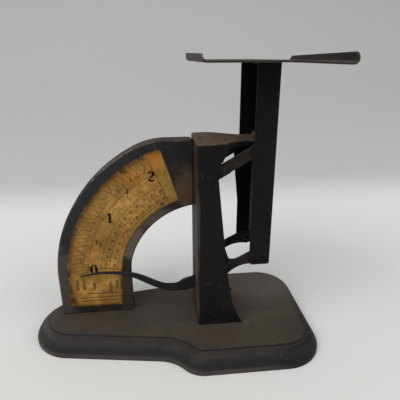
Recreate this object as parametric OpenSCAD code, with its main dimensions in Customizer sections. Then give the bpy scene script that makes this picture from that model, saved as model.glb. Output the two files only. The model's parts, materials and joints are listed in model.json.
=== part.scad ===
// Letter scale with a quadrant dial: a stamped base, a folded column, and a platform on a
// parallelogram of two links, held up by a spring inside its plunger.
// Places along X are measured from the dial's centre; at_origin() then moves each piece
// so that the model's origin lies under the middle of the base. The dial faces -Y.

/* [Base] */
// Reach of the base to the left of the dial's centre
base_left = 118.3; // [112:0.1:144]
// Reach of the base to the right of the dial's centre
base_right = 72.8; // [68:0.1:88]
// Half depth of the wide pad
pad_half = 52.7; // [48:0.1:64]
// Height of the base's flat top
base_h = 12.4; // [10.3:0.1:15]
// Sheet thickness of the base
base_t = 1.2; // [1:0.1:1.5]
// Half depth of the tongue where it meets the pad
tongue_root = 38; // [34:0.1:42]
// Half depth of the tongue near its far end
tongue_end = 27.9; // [25:0.1:31]
// Radius of the pad's right corners
pad_corner = 26; // [21:0.5:32]
// Radius of the pad's left corners, where it turns in to the tongue
shoulder_r = 17; // [14:0.5:21]
// Radius of the hollow curve between pad and tongue
waist_r = 24; // [20:0.5:29]

/* [Column] */
// Height of the column's top over the table
column_top = 136.5; // [132:0.1:166]
// Width of the column across its flanges
column_w = 40.4; // [38:0.1:49]
// Distance of the column's back web to the left of the dial's centre
web_x = 7.4; // [7.2:0.1:9]
// Sheet thickness of the column
column_t = 1.2; // [1:0.1:1.4]
// Width of the horn that reaches into the plunger
horn_w = 19.2; // [16:0.1:23]
// Reach of the flare at the column's foot
flare = 7.5; // [6:0.1:9]

/* [Dial] */
// Height of the lower pivot over the dial's centre
pivot_over_dial = 2.6; // [2:0.1:3.2]
// Outer radius of the dial case
case_outer = 101; // [98:0.1:106]
// Inner radius of the dial case
case_inner = 51.8; // [48:0.1:55]
// Depth of the dial case, front to back
case_depth = 9; // [7.5:0.1:11]
// Sheet thickness of the dial case
case_t = 0.9; // [0.7:0.1:1.1]
// Depth of the case's flat top below the column's top
case_drop = 1.1; // [0.5:0.1:2]
// Radius of the turn from the case's arc into its flat top
case_blend = 45; // [38:1:54]
// Distance of the case's front face behind the pointer's middle plane
face_gap = 2.9; // [2.4:0.1:3.5]
// Width of the bare border outside the paper
border_outer = 6.8; // [5.6:0.1:8.2]
// Width of the bare border inside the paper
border_inner = 6.1; // [5:0.1:7.4]
// Angle of the paper's upper end above the horizontal
paper_end = 72.4; // [68:0.1:74]

/* [Linkage] */
// Distance between the two fixed pivots
pivot_rise = 72.3; // [64:0.1:76]
// Length of each link between its pivots
link_l = 33.8; // [30:0.1:41]
// Angle of the links above the horizontal with an empty platform
link_rest = 29.9; // [26:0.1:32]
// Turn of the lower lever from empty to full load
swing = 65; // [54:1:66]
// Width of a link over its two arms
link_w = 32; // [30:0.1:33]
// Sheet thickness of the links
link_t = 1.2; // [1:0.1:1.5]
// Diameter of the pivot shanks
pivot_d = 3.2; // [2.6:0.1:4]

/* [Plunger and platform] */
// Width of the plunger across its flanges
plunger_w = 35.4; // [34.6:0.1:36.8]
// Distance from the plunger's pivots to the outside of its web
plunger_reach = 10.7; // [10.5:0.1:13]
// Distance from the plunger's pivots to the free edges of its flanges
flange_reach = 3.1; // [2.6:0.1:3.8]
// Length of the plunger below its lower pivots
plunger_tail = 4.2; // [3.8:0.1:5]
// Gap left between the plunger and the base at full load
base_clear = 6.8; // [5:0.1:9]
// Gap left between the zero screw and the platform at full load
screw_clear = 3.9; // [2:0.1:8]
// Platform length, left to right
platform_l = 75.5; // [62:0.1:91]
// Platform width, front to back
platform_w = 101.4; // [84:0.1:122]
// Sheet thickness of the platform
platform_t = 1.1; // [1:0.1:1.7]
// Height of the platform's raised edges over its top, at their rounded ends
lip_h = 4.4; // [3.8:0.1:6]
// Height of the platform's raised edges over its top, at their slanted ends
lip_low = 3.1; // [2.4:0.1:3.8]

/* [Spring] */
// Wire diameter of the spring
wire_d = 0.7; // [0.55:0.05:0.85]
// Mean diameter of the spring's curls
curl_d = 5.6; // [5.2:0.1:6.2]
// Number of curls
curls = 44; // [36:1:46]
// Height of the spring's upper end below the column's top
spring_drop = 8.5; // [7:0.1:10.5]
// Height of the spring's lower end over the plunger's lower end
spring_foot_rise = 16.5; // [14:0.1:20]

/* [Hidden] */
$fn = 48;

// Clearance in a running bore, on the radius, and in the pivot where the linkage is opened
run_gap = 0.05;
open_pivot_gap = 0.35;
// Gap between faces of pieces that move past each other
slide_gap = 0.3;
// Longer than any outline here, for shapes that only cut
reach = 300;

// Frame: the base's outline decides where the origin lies
origin_x = (base_left - base_right) / 2;

// Base outline
tongue_x0 = -95;
tongue_x1 = -30.5;
tongue_slope = (tongue_root - tongue_end) / (tongue_x1 - tongue_x0);
tongue_angle = atan(tongue_slope);
tongue_dir = [cos(tongue_angle), sin(tongue_angle)];
tongue_normal = [-sin(tongue_angle), cos(tongue_angle)];
tongue_point = [tongue_x0, tongue_end];
pad_left = -5;
shoulder_c = [pad_left, pad_half - shoulder_r];
shoulder_over = (shoulder_c - tongue_point) * tongue_normal;
shoulder_along = (shoulder_c - tongue_point) * tongue_dir;
waist_back = sqrt(pow(shoulder_r + waist_r, 2) - pow(waist_r - shoulder_over, 2));
waist_c = tongue_point + (shoulder_along - waist_back) * tongue_dir + waist_r * tongue_normal;
join_angle = atan2(waist_c[1] - shoulder_c[1], waist_c[0] - shoulder_c[0]);
end_r = (tongue_end + tongue_slope * (-base_left - tongue_x0)) * cos(tongue_angle)
    / (1 - sin(tongue_angle));
end_c = [end_r - base_left, 0];
pad_c = [base_right - pad_corner, pad_half - pad_corner];

// Rim of the base: how far in from the edge, and how high, from the table to the top field
rim_w = 9.6;
rim = [
    [0, 0], [0, 0.22], [0.35, 0.3], [1.1, 0.42], [2.3, 0.58],
    [4.2, 0.74], [6.6, 0.85], [8.7, 0.91], [9.1, 0.98], [rim_w, 1]
];

// Linkage: fixed pivots on the column, moving pivots on the plunger
pivot_x = 0.5;
pivot_r = pivot_d / 2;
bore_r = pivot_r + run_gap;
moving_x = pivot_x + link_l * cos(link_rest);
travel = link_l * (sin(link_rest) + sin(swing - link_rest));
plunger_bottom = base_h + base_clear + travel;
moving_z = plunger_bottom + plunger_tail;
pivot_z = moving_z - link_l * sin(link_rest);
upper_pivot_z = pivot_z + pivot_rise;
arm_y = link_w / 2;
arm_in = arm_y - link_t;
lever_root_r = 6.2;
lever_tip_r = 5.4;
lever_plate = [-2, 19];
arch_r = 19.9;
arch_u = 20;
upper_arm_r = pivot_r + 2;
upper_plate = [-3, 13];
rivet_head_r = pivot_r + 1.3;
rivet_head_h = 1;
tail_r = pivot_r + 0.9;
tail_h = 0.7;
bush_r = pivot_r + 1.8;

// Pointer, in the plane between the dial's face and the column's flange
pointer_t = 1.2;
pointer_y = -1.8;
ear_t = 1.2;
ear_u = [-2, 11];
ear_rivets = [1.5, 8];
ear_rivet_r = 1;
// Stations along the pointer from its tip: place from the pivot, and height of the blade
pointer_stations = [
    [-85.9, 1.2, 0.5], [-75.8, 2.9, 1.3], [-67.2, 3.2, 1.7], [-59.2, 2.3, 2.2], [-51.5, 0.6, 3.4],
    [-46.1, -1.6, 4.2], [-41.2, -4.3, 4.7], [-36.1, -7.2, 4.8], [-30.9, -9.6, 4.9],
    [-25.7, -10.8, 5.6], [-20.5, -11, 6.5], [-15.5, -9.9, 8], [-10, -8.1, 8.8],
    [-4.5, -3.8, 7.6], [0, -0.3, 6.8], [8.6, 4.6, 6.8]
];
// How far the slot in the column's web reaches below and above the pivot
slot_below = 14;
slot_above = 10.7;

// Column
column_half = column_w / 2;
web_in = column_t - web_x;
taper_x0 = 2;
taper_x1 = 25;
column_corner = 2.5;
edge_top_x = 5.6;
edge_top_z = column_top - 12.7;
edge_straight_z = column_top - 21.3;
edge_lean = 0.1;
flare_h = 12;
horn_side_h = 3.7;
horn_throat = 9;
foot_x = 11;

// Dial
dial_z = pivot_z - pivot_over_dial;
dial_y = face_gap - 1.2;
paper_t = 0.2;
paper_outer = case_outer - border_outer;
paper_inner = case_inner + border_inner;
paper_bottom = base_h + 5.9;
paper_corner = 2;
case_corner = 3;
case_mid_y = dial_y + (case_depth + case_t) / 2;
case_flat = min(column_top - case_drop - dial_z, case_outer);
blend_x = -sqrt(pow(case_outer - case_blend, 2) - pow(case_flat - case_blend, 2));
blend_c = [min(blend_x, -web_x - 2 * case_corner), case_flat - case_blend];

// Plunger and platform
plunger_half = plunger_w / 2;
plunger_t = 1.2;
plunger_web = moving_x + plunger_reach;
flange_left = moving_x - flange_reach;
back_extra = 2;
swelling = 3.2;
full_shift = link_l * (cos(link_rest) - cos(swing - link_rest));
horn_gap = 0.65;
horn_end = plunger_web - plunger_t - full_shift - horn_gap;
tab_l = 8;
tab_w = 11;
platform_x = moving_x;
platform_rivet_x = platform_x + 4;
platform_rivet_y = plunger_half - 4.5;
platform_rivet_r = 1.4;
sunk_head_r = 2.4;
sunk_head_h = 0.8;
lip_bend = 1.6;
lip_slant = 5;
lip_round = 3.4;

// Zero screw and nut, on the horn
screw_r = 1.5;
nut_r = 4;
nut_h = 3;
nut_gap = 0.2;
screw_top = column_top + nut_h + 1;
platform_under = screw_top + travel + screw_clear;
platform_z = platform_under + platform_t;

// Spring and what holds its lower end
spring_x = moving_x + 3.2;
spring_top = column_top - spring_drop;
spring_bottom = plunger_bottom + spring_foot_rise;
plug_r = curl_d / 2 - wire_d / 2 - 0.35;
spring_pitch = (spring_top - spring_bottom) / curls;
curl_steps = 8;
stem_r = 1.2;
stem_hole_r = stem_r + slide_gap;
seat_t = 1.2;
seat_z = spring_bottom - 6;
seat_half = 4.5;
seat_left = spring_x - 7.6;
seat_web = plunger_web - plunger_t;
seat_rise = 13;
seat_rivet_r = 1;
seat_rivet_z = seat_z + 9;
seat_rivets_y = [-2.6, 2.6];
slot_from = spring_x - link_l * (1 - cos(link_rest));
slot_to = spring_x + full_shift;
washer_h = 1;
washer_r = 3.3;
washer_top = seat_z - 0.5;
pin_r = 0.5;
pin_z = washer_top - washer_h - pin_r - 0.1;
pin_leg = 3.4;

// Places of screws and rivets: the column's foot, the dial's leg, the dial's end
small_screw_r = 1.5;
screw_gap = 0.1;
foot_screws = [for (side = [-1, 1]) [3, 11 * side]];
leg_middle = (case_outer + case_inner) / 2;
leg_screws = [for (side = [-1, 1]) [side * 12 - leg_middle, case_mid_y]];
end_rivet_r = 1.2;
end_rivets = [for (share = [0.25, 0.75]) dial_z + case_inner + share * (case_flat - case_inner)];

echo(lower_pivot = [pivot_x + origin_x, pivot_z], upper_pivot_z = upper_pivot_z);
echo(moving_pivot = [moving_x + origin_x, moving_z], spring_x = spring_x + origin_x);
echo(travel = travel, spring_top = spring_top, platform_z = platform_z);

function arc(centre, radius, from, to, steps) = [
    for (i = [0:steps])
        let (a = from + (to - from) * i / steps)
        centre + radius * [cos(a), sin(a)]
];

function reversed(list) = [for (i = [len(list) - 1:-1:0]) list[i]];

// Half outline of the base on the +Y side, from right to left, drawn in by inset
function base_half(inset) = concat(
    arc(pad_c, pad_corner - inset, 0, 90, 9),
    arc(shoulder_c, shoulder_r - inset, 90, join_angle, 6),
    arc(waist_c, waist_r + inset, join_angle + 180, 270 + tongue_angle, 6),
    arc(end_c, end_r - inset, 90 + tongue_angle, 180, 10)
);

function base_outline(inset) =
    let (half = base_half(inset))
    let (other = [for (p = reversed(half)) [p[0], -p[1]]])
    concat(half, [for (i = [1:len(other) - 1]) other[i]]);

function ring_at(inset, z) = [for (p = base_outline(inset)) [p[0], p[1], z]];

// Smooth line through stations, steps pieces between each two
function smooth_line(list, steps) = [
    for (i = [0:len(list) - 2])
        for (k = [0:steps - 1])
            let (t = k / steps)
            let (a = list[max(i - 1, 0)])
            let (b = list[i])
            let (c = list[i + 1])
            let (d = list[min(i + 2, len(list) - 1)])
            0.5 * (2 * b + (c - a) * t + (2 * a - 5 * b + 4 * c - d) * t * t
                + (3 * b - a - 3 * c + d) * t * t * t),
    list[len(list) - 1]
];

// Moves a piece so that the model's origin lies under the middle of the base
module at_origin() {
    translate([origin_x, 0, 0]) children();
}

// A stack of closed rings of equal length, skinned with triangles
module skin(rings) {
    n = len(rings[0]);
    m = len(rings);
    polyhedron(
        points = [for (r = rings) for (p = r) p],
        faces = concat(
            [[for (i = [0:n - 1]) i]],
            [for (j = [0:m - 2]) for (i = [0:n - 1])
                [(j + 1) * n + (i + 1) % n, j * n + (i + 1) % n, j * n + i]],
            [for (j = [0:m - 2]) for (i = [0:n - 1])
                [(j + 1) * n + i, (j + 1) * n + (i + 1) % n, j * n + i]],
            [[for (i = [n - 1:-1:0]) (m - 1) * n + i]]
        )
    );
}

// A plate in the X-Z plane, from y to y + thickness
module upright(y, thickness) {
    translate([0, y + thickness, 0]) rotate([90, 0, 0])
        linear_extrude(thickness) children();
}

// A plate in the Y-Z plane, from x to x + thickness
module crossways(x, thickness) {
    translate([x, 0, 0]) rotate([90, 0, 90]) linear_extrude(thickness) children();
}

module cylinder_x(y, z, r, x0, x1) {
    translate([x0, y, z]) rotate([0, 90, 0]) cylinder(r = r, h = x1 - x0);
}

module cylinder_y(x, z, r, y0, y1) {
    translate([x, y0, z]) rotate([-90, 0, 0]) cylinder(r = r, h = y1 - y0);
}

module cylinder_z(x, y, r, z0, z1) {
    translate([x, y, z0]) cylinder(r = r, h = z1 - z0);
}

module both_sides() {
    for (side = [0, 1]) mirror([0, side, 0]) children();
}

// Draws in a link's own plane: X along the link from its fixed pivot, turned to the rest angle
module along_link(z) {
    translate([pivot_x, 0, z]) rotate([0, -link_rest, 0]) children();
}

// Base: a stamped shell, open underneath
module base() {
    color([0.24, 0.21, 0.19]) at_origin() difference() {
        skin([for (r = rim) ring_at(r[0], r[1] * base_h)]);
        skin([
            ring_at(base_t, -1),
            ring_at(base_t, base_h * 0.3),
            ring_at(base_t + 2.3, base_h * 0.58 - base_t),
            ring_at(base_t + 6.2, base_h * 0.87 - base_t),
            ring_at(rim_w + 1.2, base_h - base_t)
        ]);
        for (p = concat(foot_screws, leg_screws))
            cylinder_z(p[0], p[1], small_screw_r + screw_gap, base_h - base_t - 1, base_h + 1);
    }
}

// Half width of the horn in plan, narrowing away from the column
function half_at(x) =
    let (t = min(max((x - taper_x0) / (taper_x1 - taper_x0), 0), 1))
    horn_w / 2 + (column_half - horn_w / 2) * (1 + cos(180 * t)) / 2;

// Plan of the column, drawn in by inset: straight flanges, or tapered ones for the horn
module column_plan(inset, end, tapered) {
    corner_c = [column_corner - web_x, column_half - column_corner];
    half = concat(
        arc(corner_c, column_corner - inset, 180, 90, 5),
        tapered ? [for (x = [taper_x0:2.3:taper_x1]) [x, half_at(x) - inset]] : [],
        [[end, (tapered ? half_at(end) : column_half) - inset]]
    );
    polygon(concat(half, [for (p = reversed(half)) [p[0], -p[1]]]));
}

module column_walls(z0, z1, tapered) {
    translate([0, 0, z0]) linear_extrude(z1 - z0) difference() {
        column_plan(0, horn_end, tapered);
        column_plan(column_t, horn_end + 1, tapered);
    }
}

function edge_at(z) =
    edge_top_x + edge_lean * (edge_straight_z - z) + flare * exp((base_h - z) / flare_h);

// Side outline of the column: flared foot, leaning edge, horn
module column_side() {
    edge_heights = [0, 1.5, 3, 5, 7.5, 10.5, 14, 18, 23, 29, 36, 46];
    horn_rise = column_top - horn_side_h - edge_top_z;
    polygon(concat(
        [[-web_x, base_h]],
        [for (h = edge_heights) [edge_at(base_h + h), base_h + h]],
        [[edge_top_x, edge_straight_z]],
        [for (i = [0:8])
            [edge_top_x + horn_throat * i / 8, edge_top_z + horn_rise * (1 - cos(22.5 * i)) / 2]],
        [[horn_end, column_top - horn_side_h], [horn_end, column_top], [-web_x, column_top]]
    ));
}

// Column: a folded channel, open to the right, with a horn at its top
module column() {
    color([0.16, 0.15, 0.15]) at_origin() difference() {
        union() {
            intersection() {
                union() {
                    column_walls(base_h, edge_top_z, false);
                    column_walls(edge_top_z, column_top, true);
                }
                upright(-column_w, 2 * column_w) column_side();
            }
            translate([0, 0, column_top - column_t]) linear_extrude(column_t)
                column_plan(0, horn_end, true);
            translate([web_in - 0.1, 0.1 + column_t - column_half, base_h])
                cube([foot_x - web_in, column_w - 2 * column_t - 0.2, column_t]);
        }
        both_sides() for (z = [pivot_z, upper_pivot_z])
            cylinder_y(pivot_x, z, pivot_r, column_half - column_t - 1, column_half + 1);
        translate([-web_x - 1, pointer_y - 1.6, pivot_z - slot_below])
            cube([column_t + 2, pointer_t + 3.2, slot_below + slot_above]);
        for (z = end_rivets) cylinder_x(case_mid_y, z, end_rivet_r, -web_x - 1, web_in + 1);
        for (p = foot_screws)
            cylinder_z(p[0], p[1], small_screw_r + screw_gap, base_h - 1, base_h + column_t + 1);
        cylinder_z(spring_x, 0, screw_r, column_top - column_t - 1, column_top + 1);
    }
}

// A screw put in from below, its slotted head under the base's top
module base_screw(x, y, length) {
    head_top = base_h - base_t;
    cylinder_z(x, y, small_screw_r, head_top - 0.1, base_h + length);
    difference() {
        cylinder_z(x, y, 2.8, head_top - 1.9, head_top);
        translate([x - 3, y - 0.4, head_top - 2.9]) cube([6, 0.8, 1.8]);
    }
}

module nut(x, y, z, across) {
    difference() {
        translate([x, y, z]) cylinder(d = across / cos(30), h = 2.4, $fn = 6);
        cylinder_z(x, y, small_screw_r, z - 1, z + 4);
    }
}

module column_screws() {
    color([0.35, 0.32, 0.29]) at_origin()
        for (p = foot_screws) base_screw(p[0], p[1], column_t + 4);
}

module column_nuts() {
    color([0.35, 0.32, 0.29]) at_origin()
        for (p = foot_screws) nut(p[0], p[1], base_h + column_t, 5.5);
}

// Outline of the dial case, drawn in by inset: an arc with a flat top, on a straight leg
function case_outline(inset) =
    let (outer = case_outer - inset, inner = case_inner + inset)
    let (side = -web_x - inset, top = case_flat - inset, corner = case_corner - inset)
    let (turn = atan2(blend_c[1], blend_c[0]))
    let (dial = concat(
        arc([0, 0], outer, 180, turn, 32),
        arc(blend_c, case_blend - inset, turn, 90, 10),
        arc([side - corner, top - corner], corner, 90, 0, 5),
        arc([0, 0], inner, acos(side / inner), 180, 32)
    ))
    concat(
        [[-outer, base_h + inset]],
        [for (p = dial) p + [0, dial_z]],
        [[-inner, base_h + inset]]
    );

// Dial case: a pressed tray, open at the back
module dial_case() {
    color([0.25, 0.21, 0.19]) at_origin() difference() {
        upright(dial_y, case_depth) polygon(case_outline(0));
        upright(dial_y + case_t, case_depth) polygon(case_outline(case_t));
        for (z = end_rivets) cylinder_x(case_mid_y, z, end_rivet_r, -web_x - case_t - 1, 1 - web_x);
        for (p = leg_screws)
            cylinder_z(p[0], p[1], small_screw_r + screw_gap, base_h - 1, base_h + case_t + 1);
    }
}

// Outline of the paper: a sector with two round corners, and its foot on the leg
function paper_outline() =
    let (upper = 180 - paper_end, out = upper - 90)
    let (far = paper_outer - paper_corner, near = paper_inner + paper_corner)
    let (far_turn = upper + asin(paper_corner / far), near_turn = upper + asin(paper_corner / near))
    let (sector = concat(
        arc([0, 0], paper_outer, 180, far_turn, 32),
        arc(far * [cos(far_turn), sin(far_turn)], paper_corner, far_turn, out, 5),
        arc(near * [cos(near_turn), sin(near_turn)], paper_corner, out, near_turn - 180, 5),
        arc([0, 0], paper_inner, near_turn, 180, 32)
    ))
    concat(
        [[-paper_outer - 1.3, paper_bottom]],
        [for (p = sector) p + [0, dial_z]],
        [[-paper_inner - 1.2, paper_bottom]]
    );

// Paper scale, glued on the case's front
module dial_paper() {
    color([0.74, 0.58, 0.3]) at_origin()
        upright(dial_y - paper_t, paper_t) polygon(paper_outline());
}

// Rivets that hold the dial's end to the column's web
module dial_rivets() {
    color([0.3, 0.27, 0.25]) at_origin() for (z = end_rivets) {
        cylinder_x(case_mid_y, z, end_rivet_r, -web_x - case_t - 0.2, web_in + 0.2);
        cylinder_x(case_mid_y, z, 2, -web_x - case_t - 0.9, -web_x - case_t);
        cylinder_x(case_mid_y, z, 2, web_in, web_in + 0.7);
    }
}

module dial_screws() {
    color([0.35, 0.32, 0.29]) at_origin()
        for (p = leg_screws) base_screw(p[0], p[1], case_t + 4);
}

module dial_nuts() {
    color([0.35, 0.32, 0.29]) at_origin()
        for (p = leg_screws) nut(p[0], p[1], base_h + case_t, 5);
}

// Side outline of a link: two round ends, and straight edges a little inside them
module arm_shape(root_r, tip_r) {
    lean = asin((root_r - tip_r) / link_l);
    root = (root_r - 0.03) * [sin(lean), cos(lean)];
    tip = (tip_r - 0.03) * [sin(lean), cos(lean)];
    circle(r = root_r);
    translate([link_l, 0]) circle(r = tip_r);
    polygon([
        root, [link_l + tip[0], tip[1]], [link_l + tip[0], -tip[1]], [root[0], -root[1]]
    ]);
}

module link_bores(tip_bore_r) {
    both_sides() {
        cylinder_y(0, 0, bore_r, arm_in - 1, arm_y + 1);
        cylinder_y(link_l, 0, tip_bore_r, arm_in - 1, arm_y + 1);
    }
}

// Half plan of the lever's plate, hollowed between the arms
function lever_plate_half() =
    let (notch_r = 7, end = lever_plate[1] + notch_r)
    concat(
        [[lever_plate[0], arm_y - 0.1], [end, arm_y - 0.1]],
        arc([end, arm_in + 0.3 - notch_r], notch_r, 90, 180, 8)
    );

// Lower lever: two arched arms joined along their upper edges, with an ear for the pointer
module lower_lever() {
    plate_top = lever_root_r - 0.4;
    half = lever_plate_half();
    color([0.17, 0.16, 0.16]) at_origin() along_link(pivot_z) difference() {
        union() {
            both_sides() upright(arm_in, link_t) difference() {
                arm_shape(lever_root_r, lever_tip_r);
                difference() {
                    translate([arch_u, -arch_r]) circle(r = arch_r, $fn = 96);
                    translate([link_l, 0]) circle(r = lever_tip_r);
                    circle(r = lever_root_r);
                }
            }
            translate([0, 0, plate_top - link_t]) linear_extrude(link_t)
                polygon(concat(half, [for (p = reversed(half)) [p[0], -p[1]]]));
            upright(pointer_y + pointer_t, ear_t) polygon([
                [ear_u[0], -3.6], [ear_u[0] + 1, -4.6], [ear_u[1] - 1, -4.6], [ear_u[1], -3.6],
                [ear_u[1], plate_top - 0.1], [ear_u[0], plate_top - 0.1]
            ]);
        }
        link_bores(bore_r);
        for (u = ear_rivets)
            cylinder_y(u, 0, ear_rivet_r, pointer_y + pointer_t - 1, pointer_y + pointer_t + ear_t + 1);
    }
}

// Upper link: two arms joined along their lower edges; it keeps the plunger upright
module upper_link() {
    plate_z = -(tail_r + slide_gap + link_t);
    hollow_r = arm_y - 4.5;
    color([0.17, 0.16, 0.16]) at_origin() along_link(upper_pivot_z) difference() {
        union() {
            both_sides() upright(arm_in, link_t) arm_shape(upper_arm_r, upper_arm_r);
            translate([upper_plate[0], 0.1 - arm_y, plate_z])
                cube([upper_plate[1] - upper_plate[0], link_w - 0.2, link_t]);
        }
        cylinder_z(upper_plate[1] + 4.5, 0, hollow_r, plate_z - 1, plate_z + link_t + 1);
        link_bores(pivot_r + open_pivot_gap);
    }
}

// Pointer: a thin curved blade, riveted to the lever's ear
module pointer() {
    line = smooth_line(pointer_stations, 4);
    last = len(line) - 1;
    normals = [for (i = [0:last])
        let (a = line[max(i - 1, 0)])
        let (b = line[min(i + 1, last)])
        let (d = [b[0] - a[0], b[1] - a[1]])
        [-d[1], d[0]] / norm(d)];
    edge = [for (side = [1, -1]) [for (i = [0:last])
        [line[i][0], line[i][1]] + side * line[i][2] / 2 * normals[i]]];
    color([0.13, 0.12, 0.12]) at_origin() difference() {
        translate([pivot_x, 0, pivot_z]) upright(pointer_y, pointer_t)
            polygon(concat(edge[0], reversed(edge[1])));
        along_link(pivot_z) for (u = ear_rivets)
            cylinder_y(u, 0, ear_rivet_r, pointer_y - 1, pointer_y + pointer_t + 1);
    }
}

module pointer_rivets() {
    back = pointer_y + pointer_t + ear_t;
    color([0.4, 0.36, 0.32]) at_origin() along_link(pivot_z) for (u = ear_rivets) {
        cylinder_y(u, 0, ear_rivet_r, pointer_y - 0.2, back + 0.2);
        cylinder_y(u, 0, 1.7, pointer_y - 0.6, pointer_y);
        cylinder_y(u, 0, 1.7, back, back + 0.6);
    }
}

// A pair of shouldered rivets on one axis: heads outside at y = outer, tails inside the arms
module pivot_pair(x, z, outer) {
    tail_y = arm_in - slide_gap;
    both_sides() {
        cylinder_y(x, z, pivot_r, tail_y - 0.2, outer + 0.2);
        cylinder_y(x, z, rivet_head_r, outer, outer + rivet_head_h * 0.6);
        cylinder_y(x, z, rivet_head_r - 0.7, outer, outer + rivet_head_h);
        cylinder_y(x, z, tail_r, tail_y - tail_h, tail_y);
    }
}

module lower_fixed_pivots() {
    color([0.3, 0.27, 0.25]) at_origin() pivot_pair(pivot_x, pivot_z, column_half);
}

module upper_fixed_pivots() {
    color([0.3, 0.27, 0.25]) at_origin() pivot_pair(pivot_x, upper_pivot_z, column_half);
}

module lower_moving_pivots() {
    color([0.3, 0.27, 0.25]) at_origin() pivot_pair(moving_x, moving_z, plunger_half);
}

module upper_moving_pivots() {
    color([0.3, 0.27, 0.25]) at_origin() pivot_pair(moving_x, moving_z + pivot_rise, plunger_half);
}

// Bushes that keep the links in the middle of the column
module pivot_bushes() {
    color([0.45, 0.38, 0.26]) at_origin() both_sides() for (z = [pivot_z, upper_pivot_z])
        difference() {
            cylinder_y(pivot_x, z, bush_r, arm_y + slide_gap, column_half - column_t);
            cylinder_y(pivot_x, z, pivot_r, arm_y, column_half);
        }
}

// Plan of the plunger, drawn in by inset, open at x = end
module plunger_plan(inset, end) {
    corner = 2.2;
    half = concat(
        arc([plunger_web - corner, plunger_half - corner], corner - inset, 0, 90, 5),
        [[end, plunger_half - inset]]
    );
    polygon(concat(half, [for (p = reversed(half)) [p[0], -p[1]]]));
}

// Side outline of a flange; the back one reaches further and swells beside the upper link
module flange_side(extra, swell) {
    left = flange_left - extra;
    bulge = left - swell;
    ear = moving_z + pivot_rise;
    polygon([
        [left, plunger_bottom + 1.5], [left + 1.5, plunger_bottom], [plunger_web, plunger_bottom],
        [plunger_web, platform_under], [left, platform_under], [left, ear - 3],
        [bulge, ear - 8], [bulge, ear - 13], [left, ear - 44]
    ]);
}

// Plunger: a channel open towards the column, with two tabs under the platform
module plunger() {
    color([0.14, 0.14, 0.15]) at_origin() difference() {
        union() {
            intersection() {
                translate([0, 0, plunger_bottom]) linear_extrude(platform_under - plunger_bottom)
                    difference() {
                        plunger_plan(0, moving_x - 14);
                        plunger_plan(plunger_t, moving_x - 15);
                    }
                union() {
                    upright(-plunger_w, plunger_w) flange_side(0, 0);
                    upright(0, plunger_w) flange_side(back_extra, swelling);
                }
            }
            both_sides()
                translate([flange_left + 2, plunger_half - tab_l, platform_under - plunger_t])
                    cube([tab_w, tab_l - 0.1, plunger_t]);
        }
        both_sides() {
            for (z = [moving_z, moving_z + pivot_rise])
                cylinder_y(moving_x, z, pivot_r, plunger_half - plunger_t - 1, plunger_half + 1);
            cylinder_z(platform_rivet_x, platform_rivet_y, platform_rivet_r,
                platform_under - plunger_t - 1, platform_under + 1);
        }
        for (y = seat_rivets_y)
            cylinder_x(y, seat_rivet_z, seat_rivet_r, plunger_web - 2 * plunger_t, plunger_web + 1);
    }
}

// Bracket on the plunger's web: the spring's stem hangs in its slot and stays plumb
module spring_seat() {
    color([0.2, 0.19, 0.19]) at_origin() difference() {
        union() {
            translate([seat_left, -seat_half, seat_z])
                cube([seat_web - seat_left, 2 * seat_half, seat_t]);
            translate([seat_web - seat_t, -seat_half, seat_z])
                cube([seat_t, 2 * seat_half, seat_rise]);
        }
        for (x = [slot_from, slot_to])
            cylinder_z(x, 0, stem_hole_r, seat_z - 1, seat_z + seat_t + 1);
        translate([slot_from, -stem_hole_r, seat_z - 1])
            cube([slot_to - slot_from, 2 * stem_hole_r, seat_t + 2]);
        for (y = seat_rivets_y)
            cylinder_x(y, seat_rivet_z, seat_rivet_r, seat_web - 2 * seat_t, seat_web + 1);
    }
}

module seat_rivets() {
    color([0.3, 0.27, 0.25]) at_origin() for (y = seat_rivets_y) {
        cylinder_x(y, seat_rivet_z, seat_rivet_r, seat_web - seat_t, plunger_web + 0.1);
        cylinder_x(y, seat_rivet_z, 1.8, plunger_web, plunger_web + 0.7);
    }
}

// Profile of the platform's right half from its middle outwards: plate, bend, raised edge
module platform_half_profile() {
    half = platform_l / 2;
    uncut = platform_z + lip_h + 1;
    bend_c = [half - lip_bend - platform_t, platform_z + lip_bend];
    polygon(concat(
        [[0, platform_under]],
        arc(bend_c, lip_bend + platform_t, -90, 0, 6),
        [[half, uncut], [half - platform_t, uncut]],
        arc(bend_c, lip_bend, 0, -90, 6),
        [[0, platform_z]]
    ));
}

// Countersunk hole or head in the platform, flush with its top
module sunk_cone() {
    translate([platform_rivet_x, platform_rivet_y, platform_z - sunk_head_h])
        cylinder(h = sunk_head_h, r1 = platform_rivet_r, r2 = sunk_head_r);
}

// Platform: a plate with its left and right edges turned up; each raised edge is cut
// to a slant at one end, rises towards the other, and is rounded there
module platform() {
    half_l = platform_l / 2;
    half_w = platform_w / 2;
    lip_top = platform_z + lip_h;
    across = platform_t + lip_bend + 1.2;
    color([0.36, 0.33, 0.3]) at_origin() difference() {
        translate([platform_x, 0, 0]) difference() {
            for (side = [0, 1]) mirror([side, 0, 0])
                upright(-half_w, platform_w) platform_half_profile();
            for (turn = [0, 180]) rotate([0, 0, turn])
                crossways(-half_l - 1, across) polygon(concat(
                    [[-half_w - 1, platform_z + 0.3], [-half_w, platform_z + 0.3],
                        [lip_slant - half_w, platform_z + lip_low]],
                    arc([half_w - lip_round, lip_top - lip_round], lip_round, 90, 0, 8),
                    [[half_w + 1, lip_top - lip_round], [half_w + 1, lip_top + 2],
                        [-half_w - 1, lip_top + 2]]
                ));
        }
        both_sides() {
            cylinder_z(platform_rivet_x, platform_rivet_y, platform_rivet_r, platform_under - 1, platform_z);
            sunk_cone();
            cylinder_z(platform_rivet_x, platform_rivet_y, sunk_head_r, platform_z, platform_z + 1);
        }
    }
}

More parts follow.
